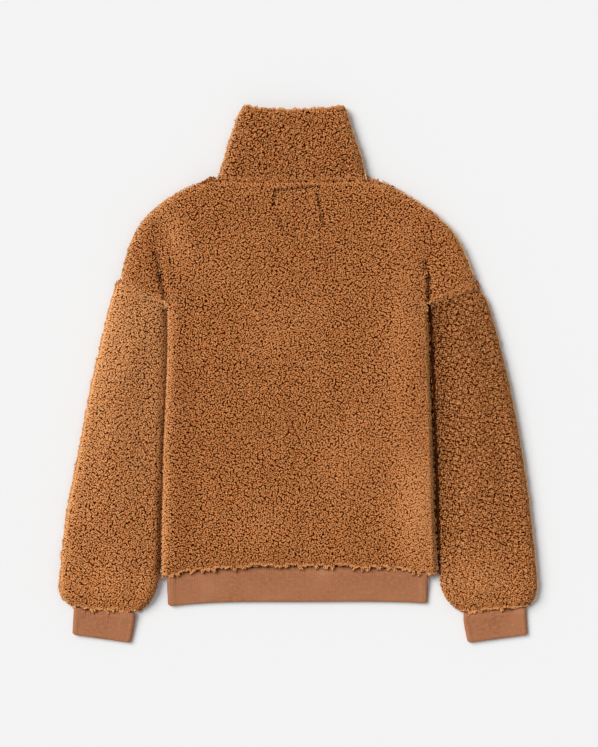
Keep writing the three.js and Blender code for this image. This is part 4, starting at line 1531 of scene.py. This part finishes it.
# %% [markdown]
# ## The zip
#
# The zip lies underneath, down the front. Its tapes, slider and pull are whole solids already, so they keep
# their shape and only take a finish: a twill for the tapes, worn brass for the metal. The teeth are too many
# to draw by hand. One tooth is modelled as a small waisted block with a nose, and each row of copies is
# written as one mesh; an Array modifier on one tooth would do the same.

# %% Tape and brass
TWILL = 0.0011   # from one ridge of the tape's twill to the next, metres


def tape_material():
    """The tape: a slanting twill of two browns."""
    made, shader, start = fabric_material("zip tape", 0.8, 0.05, (1.0, 0.85, 0.7))
    place = on_piece(start)
    x, y = axes_of(place)
    twill = x.maths("SINE", (x + y * 0.6) * (2 * math.pi / TWILL)) * 0.5 + 0.5
    yarn = noise(start, place, 1500)
    colour = (twill * 0.6 + yarn * 0.4).between(0.1, 0.9).mixed((0.16, 0.055, 0.022), (0.33, 0.135, 0.058))
    finish(start, shader, colour, twill * 0.7 + yarn * 0.3, 0.5, 0.0002)
    return made


def brass_material():
    """The metal of the zip: brass, worn dull in patches, with fine scratches."""
    made, shader = new_material("zip brass", Metallic=1.0)
    start = Socket(made.node_tree, None)
    place = on_piece(start)
    worn, scratches = noise(start, place, 320, 4.0, 0.6), noise(start, place, 2400)
    colour = worn.between(0.35, 0.7).mixed((0.42, 0.27, 0.11), (0.72, 0.52, 0.25))
    finish(start, shader, colour, worn * 0.6 + scratches * 0.4, 0.25, 0.0001)
    rough = scratches * 0.2 + worn * 0.25 + 0.14
    made.node_tree.links.new(rough.output, shader.inputs["Roughness"])
    return made


tape, brass = tape_material(), brass_material()
for name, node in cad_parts.items():
    if name.startswith("zip_"):
        node.data.materials.clear()
        node.data.materials.append(tape if "tape" in name else brass)
        print(name, "is finished with", node.data.materials[0].name)

# %% Two rows of teeth
TOOTH_PITCH = 2.2
TOOTH_WIDE, TOOTH_DEEP = 1.05 * 1.4, 2.5   # along the zip, for an outline 1 wide, and through the tape
# Half the outline of a tooth from above, from the middle of the zip outwards: clamped wide on the tape,
# waisted, with a rounded nose.
TOOTH = [(2.3, 0.42), (1.35, 0.5), (0.75, 0.34), (0.2, 0.38), (-0.45, 0.2)]
LAYERS = ((-0.5, 0.82), (-0.36, 1.0), (0.36, 1.0), (0.5, 0.82))   # heights, and the outline's size there


def teeth_of(side):
    """One row of teeth on the inner edge of a tape, their noses past the middle: points and faces."""
    rows, out = solids["zip_tape_" + side], OUTWARD[side]
    low, high = rows[..., 1].min() + 3, rows[..., 1].max() - 16   # they end short of both ends of the tape
    middle = (rows[..., 2].min() + rows[..., 2].max()) / 2
    count = int((high - low) / TOOTH_PITCH)
    steps = np.arange(count) * TOOTH_PITCH + low + (0 if side == "left" else TOOTH_PITCH / 2)
    outline = np.array(TOOTH + [(x, -y) for x, y in TOOTH[::-1]])
    centre, around = outline.mean(0), len(outline)
    ring = []
    for z, shrink in LAYERS:
        flat = centre + (outline - centre) * shrink
        height = np.full(around, z * TOOTH_DEEP)
        ring.append(np.column_stack([out * flat[:, 0], flat[:, 1] * TOOTH_WIDE, height]))
    tooth = np.array(ring).reshape(-1, 3)
    points = tooth[None] + np.stack([np.full(count, ZIP_X), steps, np.full(count, middle)], 1)[:, None]
    index = np.arange(4 * around).reshape(4, around)
    index = np.concatenate([index, index[:, :1]], 1)
    walls = quads(index[:-1, :-1], index[:-1, 1:], index[1:, 1:], index[1:, :-1])
    caps = np.stack([index[0, :-1][::-1], index[-1, :-1]])
    if out < 0:
        walls, caps = walls[:, ::-1], caps[:, ::-1]
    start = (np.arange(count) * 4 * around)[:, None, None]
    faces = [(start + group[None]).reshape(-1, group.shape[1]) for group in (walls, caps)]
    return points.reshape(-1, 3), faces, count


def flat_squares(faces):
    """A place on the flat map for every face: a small square of its own, its corners on a circle."""
    total = sum(len(group) for group in faces)
    side, first, places = math.ceil(math.sqrt(total)), 0, []
    for group in faces:
        number = np.arange(first, first + len(group))
        square = np.stack([number % side, number // side], 1)[:, None]
        turn = np.linspace(0, 2 * np.pi, group.shape[1], endpoint=False)
        places.append((square + 0.5 + 0.38 * np.stack([np.cos(turn), np.sin(turn)], 1)[None]) / side)
        first += len(group)
    return places


for side in OUTWARD:
    points, faces, count = teeth_of(side)
    teeth = new_mesh(f"zip_teeth_{side}", points, faces, brass, flat_squares(faces), smooth=False)
    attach(teeth, "garment")
    print(f"zip teeth {side}: {count} teeth, {len(teeth.data.polygons)} faces")
